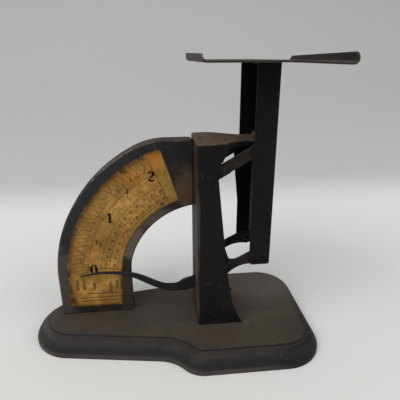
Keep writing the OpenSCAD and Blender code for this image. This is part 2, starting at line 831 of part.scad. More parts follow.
module platform_rivets() {
    tab_under = platform_under - plunger_t;
    color([0.42, 0.38, 0.34]) at_origin() both_sides() {
        cylinder_z(platform_rivet_x, platform_rivet_y, platform_rivet_r, tab_under - 0.1, platform_z);
        sunk_cone();
        cylinder_z(platform_rivet_x, platform_rivet_y, 2.4, tab_under - 0.6, tab_under);
    }
}

// Middle line of the spring: one helix
spring_line = [for (i = [0:curls * curl_steps])
    let (a = 360 * i / curl_steps)
    [curl_d / 2 * cos(a), curl_d / 2 * sin(a), spring_bottom + spring_pitch * i / curl_steps]];
spring_gap = min([for (i = [0:len(spring_line) - 1])
    for (j = [i + curl_steps / 2:min(i + 2 * curl_steps, len(spring_line) - 1)])
        norm(spring_line[i] - spring_line[j])]) - wire_d;
echo(least_gap_between_curls = spring_gap);

// Spring: one unbroken tube whose ends run straight for one wire diameter
module spring() {
    sides = 6;
    last = len(spring_line) - 1;
    run = concat(
        [spring_line[0] - [0, wire_d, 0]], spring_line, [spring_line[last] + [0, wire_d, 0]]
    );
    rings = [for (i = [0:len(run) - 1])
        let (t = run[min(i + 1, last + 2)] - run[max(i - 1, 0)])
        let (side = cross([0, 0, 1], t) / norm(cross([0, 0, 1], t)))
        let (up = cross(t, side) / norm(t))
        [for (k = [0:sides - 1])
            run[i] + wire_d / 2 * (cos(360 * k / sides) * side + sin(360 * k / sides) * up)]];
    color([0.33, 0.3, 0.28]) at_origin() translate([spring_x, 0, 0]) skin(rings);
}

// Zero screw: it hangs from the horn, and its plug holds the spring's upper end
module zero_screw() {
    color([0.5, 0.38, 0.22]) at_origin() {
        cylinder_z(spring_x, 0, screw_r, spring_top + 1, screw_top);
        cylinder_z(spring_x, 0, plug_r, spring_top - 5, spring_top + 1.5);
    }
}

// Zero nut: a knurled nut on the zero screw, just over the horn
module zero_nut() {
    ridges = 18;
    nut_z = column_top + nut_gap;
    color([0.5, 0.38, 0.22]) at_origin() difference() {
        union() {
            cylinder_z(spring_x, 0, nut_r - 0.35, nut_z, nut_z + nut_h);
            for (i = [0:ridges - 1])
                translate([spring_x, 0, nut_z + 0.4]) rotate([0, 0, 360 * i / ridges])
                    translate([nut_r - 0.75, -0.35, 0]) cube([0.7, 0.7, nut_h - 0.8]);
        }
        cylinder_z(spring_x, 0, screw_r + run_gap, column_top - 1, screw_top + 1);
    }
}

// Stem at the spring's lower end, through the seat's slot
module spring_stem() {
    color([0.45, 0.4, 0.34]) at_origin() difference() {
        union() {
            cylinder_z(spring_x, 0, plug_r, spring_bottom - 2.4, spring_bottom + 4.5);
            cylinder_z(spring_x, 0, stem_r, seat_z - 5.6, spring_bottom - 2);
        }
        cylinder_x(0, pin_z, pin_r, spring_x - 3, spring_x + 3);
    }
}

module stem_washer() {
    color([0.45, 0.4, 0.34]) at_origin() difference() {
        cylinder_z(spring_x, 0, washer_r, washer_top - washer_h, washer_top);
        cylinder_z(spring_x, 0, stem_r, washer_top - 2, washer_top + 1);
    }
}

// Split pin under the washer, its leg bent to the left
module stem_pin() {
    color([0.45, 0.4, 0.34]) at_origin() {
        cylinder_x(0, pin_z, pin_r, spring_x - pin_leg, spring_x + 2);
        translate([spring_x - pin_leg, 0, pin_z]) sphere(r = pin_r + 0.06);
        translate([spring_x - pin_leg, 0, pin_z]) rotate([0, -60, 0])
            cylinder(r = pin_r - 0.02, h = 2.6);
        cylinder_y(spring_x + 2.4, pin_z - 0.4, 0.9, 0.1 - pin_r, pin_r - 0.1);
    }
}

base();
column();
column_screws();
column_nuts();
dial_case();
dial_paper();
dial_rivets();
dial_screws();
dial_nuts();
lower_lever();
pointer();
pointer_rivets();
upper_link();
lower_fixed_pivots();
upper_fixed_pivots();
pivot_bushes();
plunger();
lower_moving_pivots();
upper_moving_pivots();
spring_seat();
seat_rivets();
platform();
platform_rivets();
spring();
zero_screw();
zero_nut();
spring_stem();
stem_washer();
stem_pin();
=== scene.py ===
"""A small spring letter scale: its finishes, its pieces in detail, and the table it stands on.

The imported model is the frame. Each class below stands for one sub-assembly: it keeps its sizes in
millimetres, builds its meshes in place and hands them to the frame. Places along X are measured
from the dial's centre where the scale's own drawing does so, and Layout.shift moves them.
"""
from __future__ import annotations

import json
import logging
import math
from collections import defaultdict
from collections.abc import Callable, Iterable, Mapping, Sequence
from dataclasses import dataclass, field
from enum import Enum
from typing import ClassVar

import bmesh
import bpy
from mathutils import Matrix, Vector
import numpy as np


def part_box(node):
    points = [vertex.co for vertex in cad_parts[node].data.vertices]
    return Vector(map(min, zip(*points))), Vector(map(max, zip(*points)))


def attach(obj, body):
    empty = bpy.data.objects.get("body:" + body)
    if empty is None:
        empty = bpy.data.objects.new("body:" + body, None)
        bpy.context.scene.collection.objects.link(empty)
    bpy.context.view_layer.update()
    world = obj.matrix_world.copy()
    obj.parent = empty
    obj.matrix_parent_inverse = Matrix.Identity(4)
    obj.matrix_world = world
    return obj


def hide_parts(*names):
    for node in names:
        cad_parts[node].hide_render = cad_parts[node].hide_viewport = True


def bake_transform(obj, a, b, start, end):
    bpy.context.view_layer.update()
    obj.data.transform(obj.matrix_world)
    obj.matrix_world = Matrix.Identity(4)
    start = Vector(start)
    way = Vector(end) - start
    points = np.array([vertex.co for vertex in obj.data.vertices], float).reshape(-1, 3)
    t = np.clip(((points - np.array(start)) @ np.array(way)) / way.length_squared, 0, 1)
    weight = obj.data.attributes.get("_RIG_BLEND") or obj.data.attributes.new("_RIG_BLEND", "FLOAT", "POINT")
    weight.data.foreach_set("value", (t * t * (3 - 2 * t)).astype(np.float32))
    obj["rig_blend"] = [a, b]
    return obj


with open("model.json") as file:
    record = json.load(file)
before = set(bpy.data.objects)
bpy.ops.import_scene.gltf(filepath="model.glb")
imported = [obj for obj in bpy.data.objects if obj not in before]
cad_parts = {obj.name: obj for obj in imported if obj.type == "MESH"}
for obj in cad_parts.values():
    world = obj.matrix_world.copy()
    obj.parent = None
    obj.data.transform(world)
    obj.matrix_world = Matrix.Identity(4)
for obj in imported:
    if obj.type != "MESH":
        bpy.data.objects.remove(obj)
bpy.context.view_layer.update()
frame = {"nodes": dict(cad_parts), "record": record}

LOG = logging.getLogger("letter_scale")

MM = 0.001
"""One millimetre in metres."""
CLOSE = 1e-3
"""Distance in millimetres within which a point counts as lying at a place."""
SAME = 1e-4
"""Distance in millimetres within which two points become one."""

Triple = tuple[float, float, float]
Colour = Triple
Point = tuple[float, float]
Vert, Edge, Face = bmesh.types.BMVert, bmesh.types.BMEdge, bmesh.types.BMFace
Material = bpy.types.Material


def paint(red: int, green: int, blue: int) -> Colour:
    """Return the linear colour of a screen colour.

    Args:
        red: Red, from 0 to 255.
        green: Green, from 0 to 255.
        blue: Blue, from 0 to 255.

    Returns:
        The colour as three linear values.
    """
    def linear(level: int) -> float:
        """Undo the screen's tone curve for one channel."""
        share = level / 255
        return share / 12.92 if share <= 0.04045 else ((share + 0.055) / 1.055) ** 2.4

    return linear(red), linear(green), linear(blue)


def smoothstep(value: float, low: float, high: float) -> float:
    """Return 0 below low, 1 above high and a smooth rise between them."""
    share = min(max((value - low) / (high - low), 0.0), 1.0)
    return share * share * (3 - 2 * share)


def smooth_line(stations: Sequence[Sequence[float]], steps: int) -> list[tuple[float, ...]]:
    """Draw a smooth line through stations.

    Args:
        stations: Points of any equal number of values.
        steps: Pieces between each two stations.

    Returns:
        The points of the line, with every station among them.
    """
    line = []
    last = len(stations) - 1
    for i in range(last):
        before, here = stations[max(i - 1, 0)], stations[i]
        there, after = stations[i + 1], stations[min(i + 2, last)]
        for k in range(steps):
            t = k / steps
            line.append(tuple(
                0.5 * (2 * b + (c - a) * t + (2 * a - 5 * b + 4 * c - d) * t ** 2
                       + (3 * b - a - 3 * c + d) * t ** 3)
                for a, b, c, d in zip(before, here, there, after)
            ))
    line.append(tuple(stations[last]))
    return line


def meeting(centre_a: Point, radius_a: float, centre_b: Point, radius_b: float) -> Point:
    """Return the lower one of the two points where two circles meet.

    Args:
        centre_a: Centre of the first circle.
        radius_a: Its radius.
        centre_b: Centre of the second circle.
        radius_b: Its radius.

    Returns:
        The lower point.
    """
    gap = math.dist(centre_a, centre_b)
    along = (gap ** 2 + radius_a ** 2 - radius_b ** 2) / (2 * gap)
    across = math.sqrt(radius_a ** 2 - along ** 2)
    unit = ((centre_b[0] - centre_a[0]) / gap, (centre_b[1] - centre_a[1]) / gap)
    middle = (centre_a[0] + along * unit[0], centre_a[1] + along * unit[1])
    ends = [(middle[0] + side * across * unit[1], middle[1] - side * across * unit[0])
            for side in (-1, 1)]
    return min(ends, key=lambda end: end[1])


def direction(centre: Point, point: Point) -> float:
    """Return the angle in degrees at which a point lies around a centre."""
    return math.degrees(math.atan2(point[1] - centre[1], point[0] - centre[0]))


def lies_at(axis: int, level: float) -> Callable[[Edge | Face], bool]:
    """Return a test of whether all of an edge or face lies at one level along an axis."""
    return lambda item: all(abs(vert.co[axis] - level) < CLOSE for vert in item.verts)


class Sheet(Enum):
    """The plane that an outline is drawn in, named by its two axes."""

    SIDE = "X and Z"
    PLAN = "X and Y"
    CROSS = "Y and Z"

    def at(self, point: Point, level: float) -> Vector:
        """Return the place of an outline's point, at a level along the third axis.

        Args:
            point: The point in the outline's plane.
            level: Its place along the third axis.

        Returns:
            The point in space.
        """
        first, second = point
        if self is Sheet.SIDE:
            return Vector((first, level, second))
        if self is Sheet.PLAN:
            return Vector((first, second, level))
        return Vector((level, first, second))


class Outline:
    """A line in one plane, drawn in millimetres from straight and round stretches."""

    def __init__(self, *points: Point) -> None:
        """Start the line at the given points."""
        self.points: list[Point] = list(points)

    def to(self, *points: Point) -> Outline:
        """Run straight on to each point."""
        self.points.extend(points)
        return self

    def arc(self, centre: Point, radius: float, start: float, end: float, steps: int) -> Outline:
        """Run round an arc.

        Args:
            centre: Centre of the arc.
            radius: Radius of the arc.
            start: First angle in degrees.
            end: Last angle in degrees.
            steps: Number of pieces.

        Returns:
            The outline itself.
        """
        for i in range(steps + 1):
            angle = math.radians(start + (end - start) * i / steps)
            point = (centre[0] + radius * math.cos(angle), centre[1] + radius * math.sin(angle))
            if not self.points or math.dist(self.points[-1], point) > CLOSE:
                self.points.append(point)
        return self

    def doubled(self) -> Outline:
        """Add the mirror image across the first axis, on the way back."""
        back = [(a, -b) for a, b in reversed(self.points) if abs(b) > 1e-6]
        return Outline(*self.points, *back)

    def moved(self, along: float, up: float) -> Outline:
        """Return the outline shifted by two distances."""
        return Outline(*((a + along, b + up) for a, b in self.points))


def rectangle(left: float, low: float, right: float, high: float) -> Outline:
    """Draw a rectangle between its lower left and its upper right corner."""
    return Outline((left, low), (right, low), (right, high), (left, high))


def stroke_outline(stations: Sequence[Sequence[float]], steps: int) -> Outline:
    """Draw the outline of a stroke whose width changes along it.

    Args:
        stations: Triples of a place and the width there.
        steps: Pieces between each two stations.

    Returns:
        The closed outline.
    """
    line = smooth_line(stations, steps)
    last = len(line) - 1
    sides: tuple[list[Point], list[Point]] = ([], [])
    for i, (a, b, width) in enumerate(line):
        before, after = line[max(i - 1, 0)], line[min(i + 1, last)]
        run, rise = after[0] - before[0], after[1] - before[1]
        length = math.hypot(run, rise)
        for side, points in zip((1, -1), sides):
            points.append((a - side * width / 2 * rise / length,
                           b + side * width / 2 * run / length))
    return Outline(*sides[0], *reversed(sides[1]))


class Shape:
    """A mesh in the making, in millimetres.

    Each point carries two values for the materials: one for wear, which is 1 along softened edges,
    and one for painted shade, the share of shade painted in along a groove there.
    """

    WEAR = "wear"
    GROOVE_SHADE = "groove_shade"
    TURN_STEPS = 28

    def __init__(self) -> None:
        """Start with an empty mesh."""
        self.mesh = bmesh.new()
        self.mesh.verts.layers.float.new(self.WEAR)
        self.mesh.verts.layers.float.new(self.GROOVE_SHADE)

    def _points(self, outline: Outline, sheet: Sheet, level: float) -> list[Vert]:
        """Add an outline's points."""
        return [self.mesh.verts.new(sheet.at(point, level)) for point in outline.points]

    def _push(self, made: Mapping[str, Sequence[Vert | Edge | Face]], move: Vector,
              kind: type) -> list:
        """Move what an operator has just made and return its items of one kind.

        Args:
            made: What the operator returned.
            move: How far it goes.
            kind: Kind of item to return.

        Returns:
            The new items of that kind.
        """
        verts = [item for item in made["geom"] if isinstance(item, Vert)]
        bmesh.ops.translate(self.mesh, verts=verts, vec=move)
        return [item for item in made["geom"] if isinstance(item, kind)]

    def polygon(self, outline: Outline, sheet: Sheet, level: float) -> Face:
        """Fill an outline with one face and return it."""
        return self.mesh.faces.new(self._points(outline, sheet, level))

    def path(self, outline: Outline, sheet: Sheet, level: float) -> list[Edge]:
        """Lay an outline down as a chain of edges and return them."""
        verts = self._points(outline, sheet, level)
        return [self.mesh.edges.new(pair) for pair in zip(verts, verts[1:])]

    def extrude_faces(self, faces: Iterable[Face], move: Vector, keep: bool = False) -> list[Face]:
        """Push faces along and leave walls behind them.

        Args:
            faces: The faces.
            move: How far they go.
            keep: Whether a copy of each face stays where it was.

        Returns:
            The faces where they end.
        """
        made = bmesh.ops.extrude_face_region(self.mesh, geom=list(faces), use_keep_orig=keep)
        return self._push(made, move, Face)

    def extrude_edges(self, edges: Iterable[Edge], move: Vector) -> list[Edge]:
        """Sweep edges into a strip and return the edges where they end."""
        made = bmesh.ops.extrude_edge_only(self.mesh, edges=list(edges))
        return self._push(made, move, Edge)

    def plate(self, outline: Outline, sheet: Sheet, level: float, thickness: float) -> None:
        """Add a flat plate: an outline, thick along the third axis.

        Args:
            outline: Edge of the plate.
            sheet: Plane that it is drawn in.
            level: Where its first face lies.
            thickness: Distance from there to its second face.
        """
        face = self.polygon(outline, sheet, level)
        far = self.extrude_faces([face], sheet.at((0, 0), thickness))
        near = {item for edge in face.edges for item in edge.link_faces}
        bmesh.ops.recalc_face_normals(self.mesh, faces=[*near, *far])

    def tray(self, outline: Outline, sheet: Sheet, level: float, depth: float) -> list[Face]:
        """Push a filled outline along the third axis, with walls behind it, and return its face.

        Args:
            outline: Edge of the tray.
            sheet: Plane that it is drawn in.
            level: Where its walls start.
            depth: Distance from there to its face.

        Returns:
            The face, in a list.
        """
        start = self.polygon(outline, sheet, level)
        far = self.extrude_faces([start], sheet.at((0, 0), depth))
        bmesh.ops.delete(self.mesh, geom=[start], context="FACES_ONLY")
        return far

    def turned(self, profile: Sequence[Point], place: Vector, axis: Vector) -> None:
        """Add a turned solid.

        Args:
            profile: Pairs of radius and height from the axis back to the axis.
            place: Foot of the profile's heights.
            axis: Direction of the heights.
        """
        chain = self.path(Outline(*profile), Sheet.SIDE, 0.0)
        verts = list({vert for edge in chain for vert in edge.verts})
        bmesh.ops.spin(self.mesh, geom=verts + chain, cent=(0, 0, 0), axis=(0, 0, 1),
                       dvec=(0, 0, 0), angle=math.tau, steps=self.TURN_STEPS, use_merge=True)
        new = [vert for vert in self.mesh.verts if not vert.tag]
        bmesh.ops.remove_doubles(self.mesh, verts=new, dist=SAME)
        new = [vert for vert in self.mesh.verts if not vert.tag]
        faces = list({face for vert in new for face in vert.link_faces})
        bmesh.ops.recalc_face_normals(self.mesh, faces=faces)
        turn = Vector((0, 0, 1)).rotation_difference(axis).to_matrix().to_4x4()
        bmesh.ops.transform(self.mesh, matrix=Matrix.Translation(place) @ turn, verts=new)
        for vert in new:
            vert.tag = True

    def turned_pair(self, profile: Sequence[Point], x: float, z: float) -> None:
        """Add a turned solid on either side of the middle, both on one axis along Y."""
        for side in (-1, 1):
            self.turned(profile, Vector((x, 0, z)), Vector((0, side, 0)))

    def cut(self, axis: int, level: float, faces: Iterable[Face] | None = None) -> None:
        """Cut a line across the mesh where a plane meets it.

        Args:
            axis: Number of the axis that the plane stands across.
            level: Where it stands.
            faces: The faces that are cut, or nothing for all.
        """
        chosen = set(self.mesh.faces if faces is None else faces)
        edges = {edge for face in chosen for edge in face.edges}
        verts = {vert for face in chosen for vert in face.verts}
        normal = Vector((0, 0, 0))
        normal[axis] = 1
        bmesh.ops.bisect_plane(self.mesh, geom=[*verts, *edges, *chosen], dist=SAME,
                               plane_co=normal * level, plane_no=normal)

    def move(self, rule: Callable[[Vector], Vector]) -> None:
        """Move each point to where a rule says."""
        for vert in self.mesh.verts:
            vert.co = rule(vert.co)

    def shift(self, *distances: float) -> None:
        """Move the whole mesh along the three axes."""
        self.move(lambda spot: spot + Vector(distances))

    def merge(self) -> None:
        """Join points that coincide."""
        bmesh.ops.remove_doubles(self.mesh, verts=self.mesh.verts, dist=SAME)

    def outwards(self, *side: float) -> None:
        """Turn all faces to the outside, judged by the one that lies furthest to a side.

        Args:
            *side: Direction of that side, along the three axes.
        """
        self.merge()
        bmesh.ops.recalc_face_normals(self.mesh, faces=self.mesh.faces)
        way = Vector(side)

        def reach(face: Face) -> Point:
            """Return how far a face lies to the side and how squarely it looks there."""
            return round(face.calc_center_median().dot(way), 3), abs(face.normal.dot(way))

        far = max(self.mesh.faces, key=reach)
        if far.normal.dot(way) < 0:
            bmesh.ops.reverse_faces(self.mesh, faces=self.mesh.faces)

    def thicken(self, wall: float) -> None:
        """Give an open sheet its wall, inwards from the side its faces look to.

        Args:
            wall: Thickness of the wall.
        """
        sheet = self.as_object("sheet")
        solidify = sheet.modifiers.new("Wall", "SOLIDIFY")
        solidify.thickness = wall
        solidify.offset = -1
        solidify.use_even_offset = True
        graph = bpy.context.evaluated_depsgraph_get()
        thick = bpy.data.meshes.new_from_object(sheet.evaluated_get(graph))
        self.mesh.clear()
        self.mesh.from_mesh(thick)
        flat = sheet.data
        bpy.data.objects.remove(sheet)
        bpy.data.meshes.remove(flat)
        bpy.data.meshes.remove(thick)

    def soften(self, width: float, segments: int = 2, where: Callable[[Edge], bool] | None = None,
               least: float = 60.0) -> None:
        """Round edges and mark their crests as worn.

        Args:
            width: Distance that the rounding reaches to either side.
            segments: Strips across the rounding.
            where: Test that picks edges, or nothing for all.
            least: Smallest angle in degrees between two faces that counts as an edge.
        """
        edges = [edge for edge in self.mesh.edges
                 if len(edge.link_faces) == 2 and edge.calc_face_angle(0.0) > math.radians(least)
                 and (where is None or where(edge))]
        made = bmesh.ops.bevel(self.mesh, geom=edges, offset=width, offset_type="OFFSET",
                               segments=segments, profile=0.5, affect="EDGES",
                               clamp_overlap=False, loop_slide=True, material=-1)
        wear = self.mesh.verts.layers.float[self.WEAR]
        rounded = set(made["faces"])
        for vert in {vert for face in rounded for vert in face.verts}:
            if all(face in rounded for face in vert.link_faces):
                vert[wear] = 1.0

    def mark_groove_shade(self, share: Callable[[Vector], float]) -> None:
        """Mark how much painted shade each point takes, from 0 to 1.

        Args:
            share: Rule that gives the painted shade at a place.
        """
        groove_shade = self.mesh.verts.layers.float[self.GROOVE_SHADE]
        for vert in self.mesh.verts:
            vert[groove_shade] = min(max(share(vert.co), 0.0), 1.0)

    def as_object(self, name: str) -> bpy.types.Object:
        """Write the mesh out, still in millimetres, as an object of the scene.

        Args:
            name: Name of the object and of its mesh.

        Returns:
            The object.
        """
        data = bpy.data.meshes.new(name)
        self.mesh.to_mesh(data)
        made = bpy.data.objects.new(name, data)
        bpy.context.scene.collection.objects.link(made)
        return made

    def finished(self, name: str, sharp: float = 38.0, weighted: bool = True) -> bpy.types.Object:
        """Scale the mesh to metres and return it as a smooth-shaded object.

        Args:
            name: The piece's name.
            sharp: Angle in degrees from which an edge stays sharp.
            weighted: Whether large faces decide the shading beside small ones.

        Returns:
            The object, at the origin.
        """
        bmesh.ops.scale(self.mesh, vec=(MM, MM, MM), verts=self.mesh.verts)
        for face in self.mesh.faces:
            face.smooth = True
        made = self.as_object(name)
        made.data.set_sharp_from_angle(angle=math.radians(sharp))
        if weighted:
            modifier = made.modifiers.new("Even shading", "WEIGHTED_NORMAL")
            modifier.keep_sharp = True
        self.mesh.free()
        return made

    def hand_over(self, name: str, body: str, finish: Material, slot: str,
                  *replaces: str, weighted: bool = True) -> None:
        """Finish the mesh and give it to the frame as one piece.

        Args:
            name: The piece's name.
            body: Body of the frame that it moves with.
            finish: Its material.
            slot: The record's material slot; not used.
            replaces: Nodes that it stands for.
            weighted: Whether large faces decide the shading beside small ones.
        """
        piece = self.finished(name, weighted=weighted)
        piece.data.materials.append(finish)
        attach(piece, body)
        if replaces:
            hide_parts(*replaces)
        LOG.info("%s rides on %s: %d faces", name, body, len(piece.data.polygons))


def operator(operation: str, swapped: bool = False) -> Callable[[Signal, Value], Signal]:
    """Make a method of Signal that joins two values by one Math node.

    Args:
        operation: The node's operation.
        swapped: Whether the other value comes first.

    Returns:
        The method.
    """
    def join(self: Signal, other: Value) -> Signal:
        """Add the node and return its result."""
        ends = (other, self) if swapped else (self, other)
        return self.recipe.node("Math", {"operation": operation}, dict(enumerate(ends)))

    return join


class Signal:
    """A value inside a material, which Python's operators turn into Math nodes.

    The method most returns the larger one of two values.
    """

    def __init__(self, recipe: Recipe, socket: bpy.types.NodeSocket) -> None:
        """Wrap one output socket of a recipe's node."""
        self.recipe = recipe
        self.socket = socket

    __add__, __radd__ = operator("ADD"), operator("ADD", swapped=True)
    __sub__, __rsub__ = operator("SUBTRACT"), operator("SUBTRACT", swapped=True)
    __mul__, __rmul__ = operator("MULTIPLY"), operator("MULTIPLY", swapped=True)
    __pow__, most = operator("POWER"), operator("MAXIMUM")

    def rise(self, low: float, high: float) -> Signal:
        """Return 0 below low, 1 above high and a smooth rise between, or a fall if low > high.

        Args:
            low: Where it is 0.
            high: Where it is 1.

        Returns:
            The rise.
        """
        if low > high:
            return 1 - self.rise(high, low)
        return self.recipe.node("MapRange", {"interpolation_type": "SMOOTHSTEP"},
                                {0: self, 1: low, 2: high, 3: 0.0, 4: 1.0})

    def band(self, low: float, high: float, soft: float) -> Signal:
        """Return 1 between low and high, fading out over a distance at either end."""
        return self.rise(low - soft, low) * self.rise(high + soft, high)


Value = float | Signal


class Recipe:
    """The node tree of one material."""

    def __init__(self, name: str) -> None:
        """Start an empty node tree.

        Args:
            name: The material's name.
        """
        self.material = bpy.data.materials.new(name)
        self.material.use_nodes = True
        self.tree = self.material.node_tree
        self.tree.nodes.clear()

    def node(self, kind: str, settings: Mapping[str, object] | None = None,
             sockets: Mapping[int | str, object] | None = None, output: int | str = 0) -> Signal:
        """Add a node.

        Args:
            kind: The node's type without its ShaderNode prefix.
            settings: Properties that are set first.
            sockets: Values or signals for its inputs, by number or name.
            output: The output to return.

        Returns:
            The chosen output.
        """
        made = self.tree.nodes.new("ShaderNode" + kind)
        for key, value in (settings or {}).items():
            setattr(made, key, value)
        for key, value in (sockets or {}).items():
            if isinstance(value, Signal):
                self.tree.links.new(value.socket, made.inputs[key])
            else:
                made.inputs[key].default_value = value
        return Signal(self, made.outputs[output])

    def place(self) -> Signal:
        """Return the point's place in millimetres."""
        spot = self.node("TexCoord", output="Object")
        return self.node("VectorMath", {"operation": "SCALE"}, {0: spot, "Scale": 1 / MM})

    def axes(self, vector: Signal) -> tuple[Signal, Signal, Signal]:
        """Split a vector into its three values.

        Args:
            vector: The vector.

        Returns:
            Its values along the three axes.
        """
        split = self.tree.nodes.new("ShaderNodeSeparateXYZ")
        self.tree.links.new(vector.socket, split.inputs[0])
        x, y, z = (Signal(self, output) for output in split.outputs)
        return x, y, z

    def stretched(self, vector: Signal, stretch: Triple) -> Signal:
        """Scale a vector along each axis."""
        return self.node("VectorMath", {"operation": "MULTIPLY"}, {0: vector, 1: stretch})

    def shifted(self, vector: Signal, shift: Triple) -> Signal:
        """Move a vector."""
        return self.node("VectorMath", {"operation": "ADD"}, {0: vector, 1: shift})

    def noise(self, vector: Signal, size: float, detail: float = 3.0, rough: float = 0.55,
              warp: float = 0.0) -> Signal:
        """Return cloudy noise with features of about a size in millimetres.

        Args:
            vector: Place where it is read.
            size: Size of its features.
            detail: Number of finer layers.
            rough: Weight of the finer layers.
            warp: How far it is distorted.

        Returns:
            The noise, from 0 to 1.
        """
        return self.node("TexNoise", None, {
            "Vector": vector, "Scale": 1 / size, "Detail": detail, "Roughness": rough,
            "Distortion": warp,
        })

    def cells(self, vector: Signal, size: float) -> Signal:
        """Return the distance to the nearest of scattered points, in cell sizes."""
        return self.node("TexVoronoi", {"feature": "F1"}, {"Vector": vector, "Scale": 1 / size},
                         "Distance")

    def cover(self, spot: Signal, ragged: Signal, blot: Blot) -> Signal:
        """Return how much of each point a blot covers; noise makes its outline ragged.

        Args:
            spot: The point's place.
            ragged: The noise.
            blot: The blot.

        Returns:
            The share, up to the blot's own.
        """
        away = self.shifted(spot, tuple(-value for value in blot.place))
        sized = self.stretched(away, tuple(1 / value for value in blot.reach))
        far = self.node("VectorMath", {"operation": "LENGTH"}, {0: sized}, "Value")
        edge = far + blot.ragged * (ragged - 0.5)
        return edge.rise(1 + blot.soft / 2, 1 - blot.soft / 2) * blot.share

    def stained(self, colour: Signal, spot: Signal, ragged: Signal,
                blots: Iterable[Blot]) -> Signal:
        """Lay blots over a colour.

        Args:
            colour: The colour below.
            spot: The point's place.
            ragged: Noise that makes the outlines ragged.
            blots: The blots, the lowest first.

        Returns:
            The stained colour.
        """
        for blot in blots:
            colour = self.blend(self.cover(spot, ragged, blot), colour, blot.colour)
        return colour

    def coats(self, colour: Colour | Signal, *layers: tuple[Value, Colour]) -> Signal:
        """Lay colours over one another, each by its own share.

        Args:
            colour: The colour below.
            *layers: Pairs of a share and a colour, the lowest first.

        Returns:
            The colour on top.
        """
        for share, over in layers:
            colour = self.blend(share, colour, over)
        return colour

    def mark(self, name: str) -> Signal:
        """Return one of the mesh's own values."""
        return self.node("Attribute", {"attribute_name": name}, None, "Fac")

    def blend(self, share: Value, first: Colour | Signal, second: Colour | Signal) -> Signal:
        """Mix two colours; a share of 1 gives the second.

        Args:
            share: Share of the second colour.
            first: The first colour.
            second: The second colour.

        Returns:
            The mixed colour.
        """
        ends = [end if isinstance(end, Signal) else (*end, 1.0) for end in (first, second)]
        return self.node("Mix", {"data_type": "RGBA", "clamp_factor": True},
                         {0: share, 6: ends[0], 7: ends[1]}, 2)

    def bump(self, height: Signal, depth: float) -> Signal:
        """Return a normal that follows a height, at a depth in millimetres."""
        return self.node("Bump", None,
                         {"Strength": 1.0, "Distance": depth * MM, "Height": height})

    def surface(self, colour: Signal, rough: Value, normal: Signal | None = None,
                metal: Value = 0.0, gleam: float = 0.5) -> Material:
        """Close the recipe with its shader.

        Args:
            colour: Base colour.
            rough: Roughness, from 0 to 1.
            normal: The bumped normal, if there is one.
            metal: Share of bare metal.
            gleam: Strength of the reflection at the surface.

        Returns:
            The material.
        """
        sockets: dict[int | str, object] = {
            "Base Color": colour, "Roughness": rough, "Metallic": metal,
            "Coat Weight": 0.0, "Specular IOR Level": gleam,
        }
        if normal is not None:
            sockets["Normal"] = normal
        shader = self.node("BsdfPrincipled", None, sockets)
        end = self.tree.nodes.new("ShaderNodeOutputMaterial")
        self.tree.links.new(shader.socket, end.inputs["Surface"])
        return self.material


@dataclass(frozen=True)
class Blot:
    """A ragged patch on a surface: where it lies, how far it reaches and what it shows."""

    place: Triple
    reach: Triple
    colour: Colour = paint(120, 112, 102)
    share: float = 0.7
    soft: float = 0.6
    ragged: float = 2.0


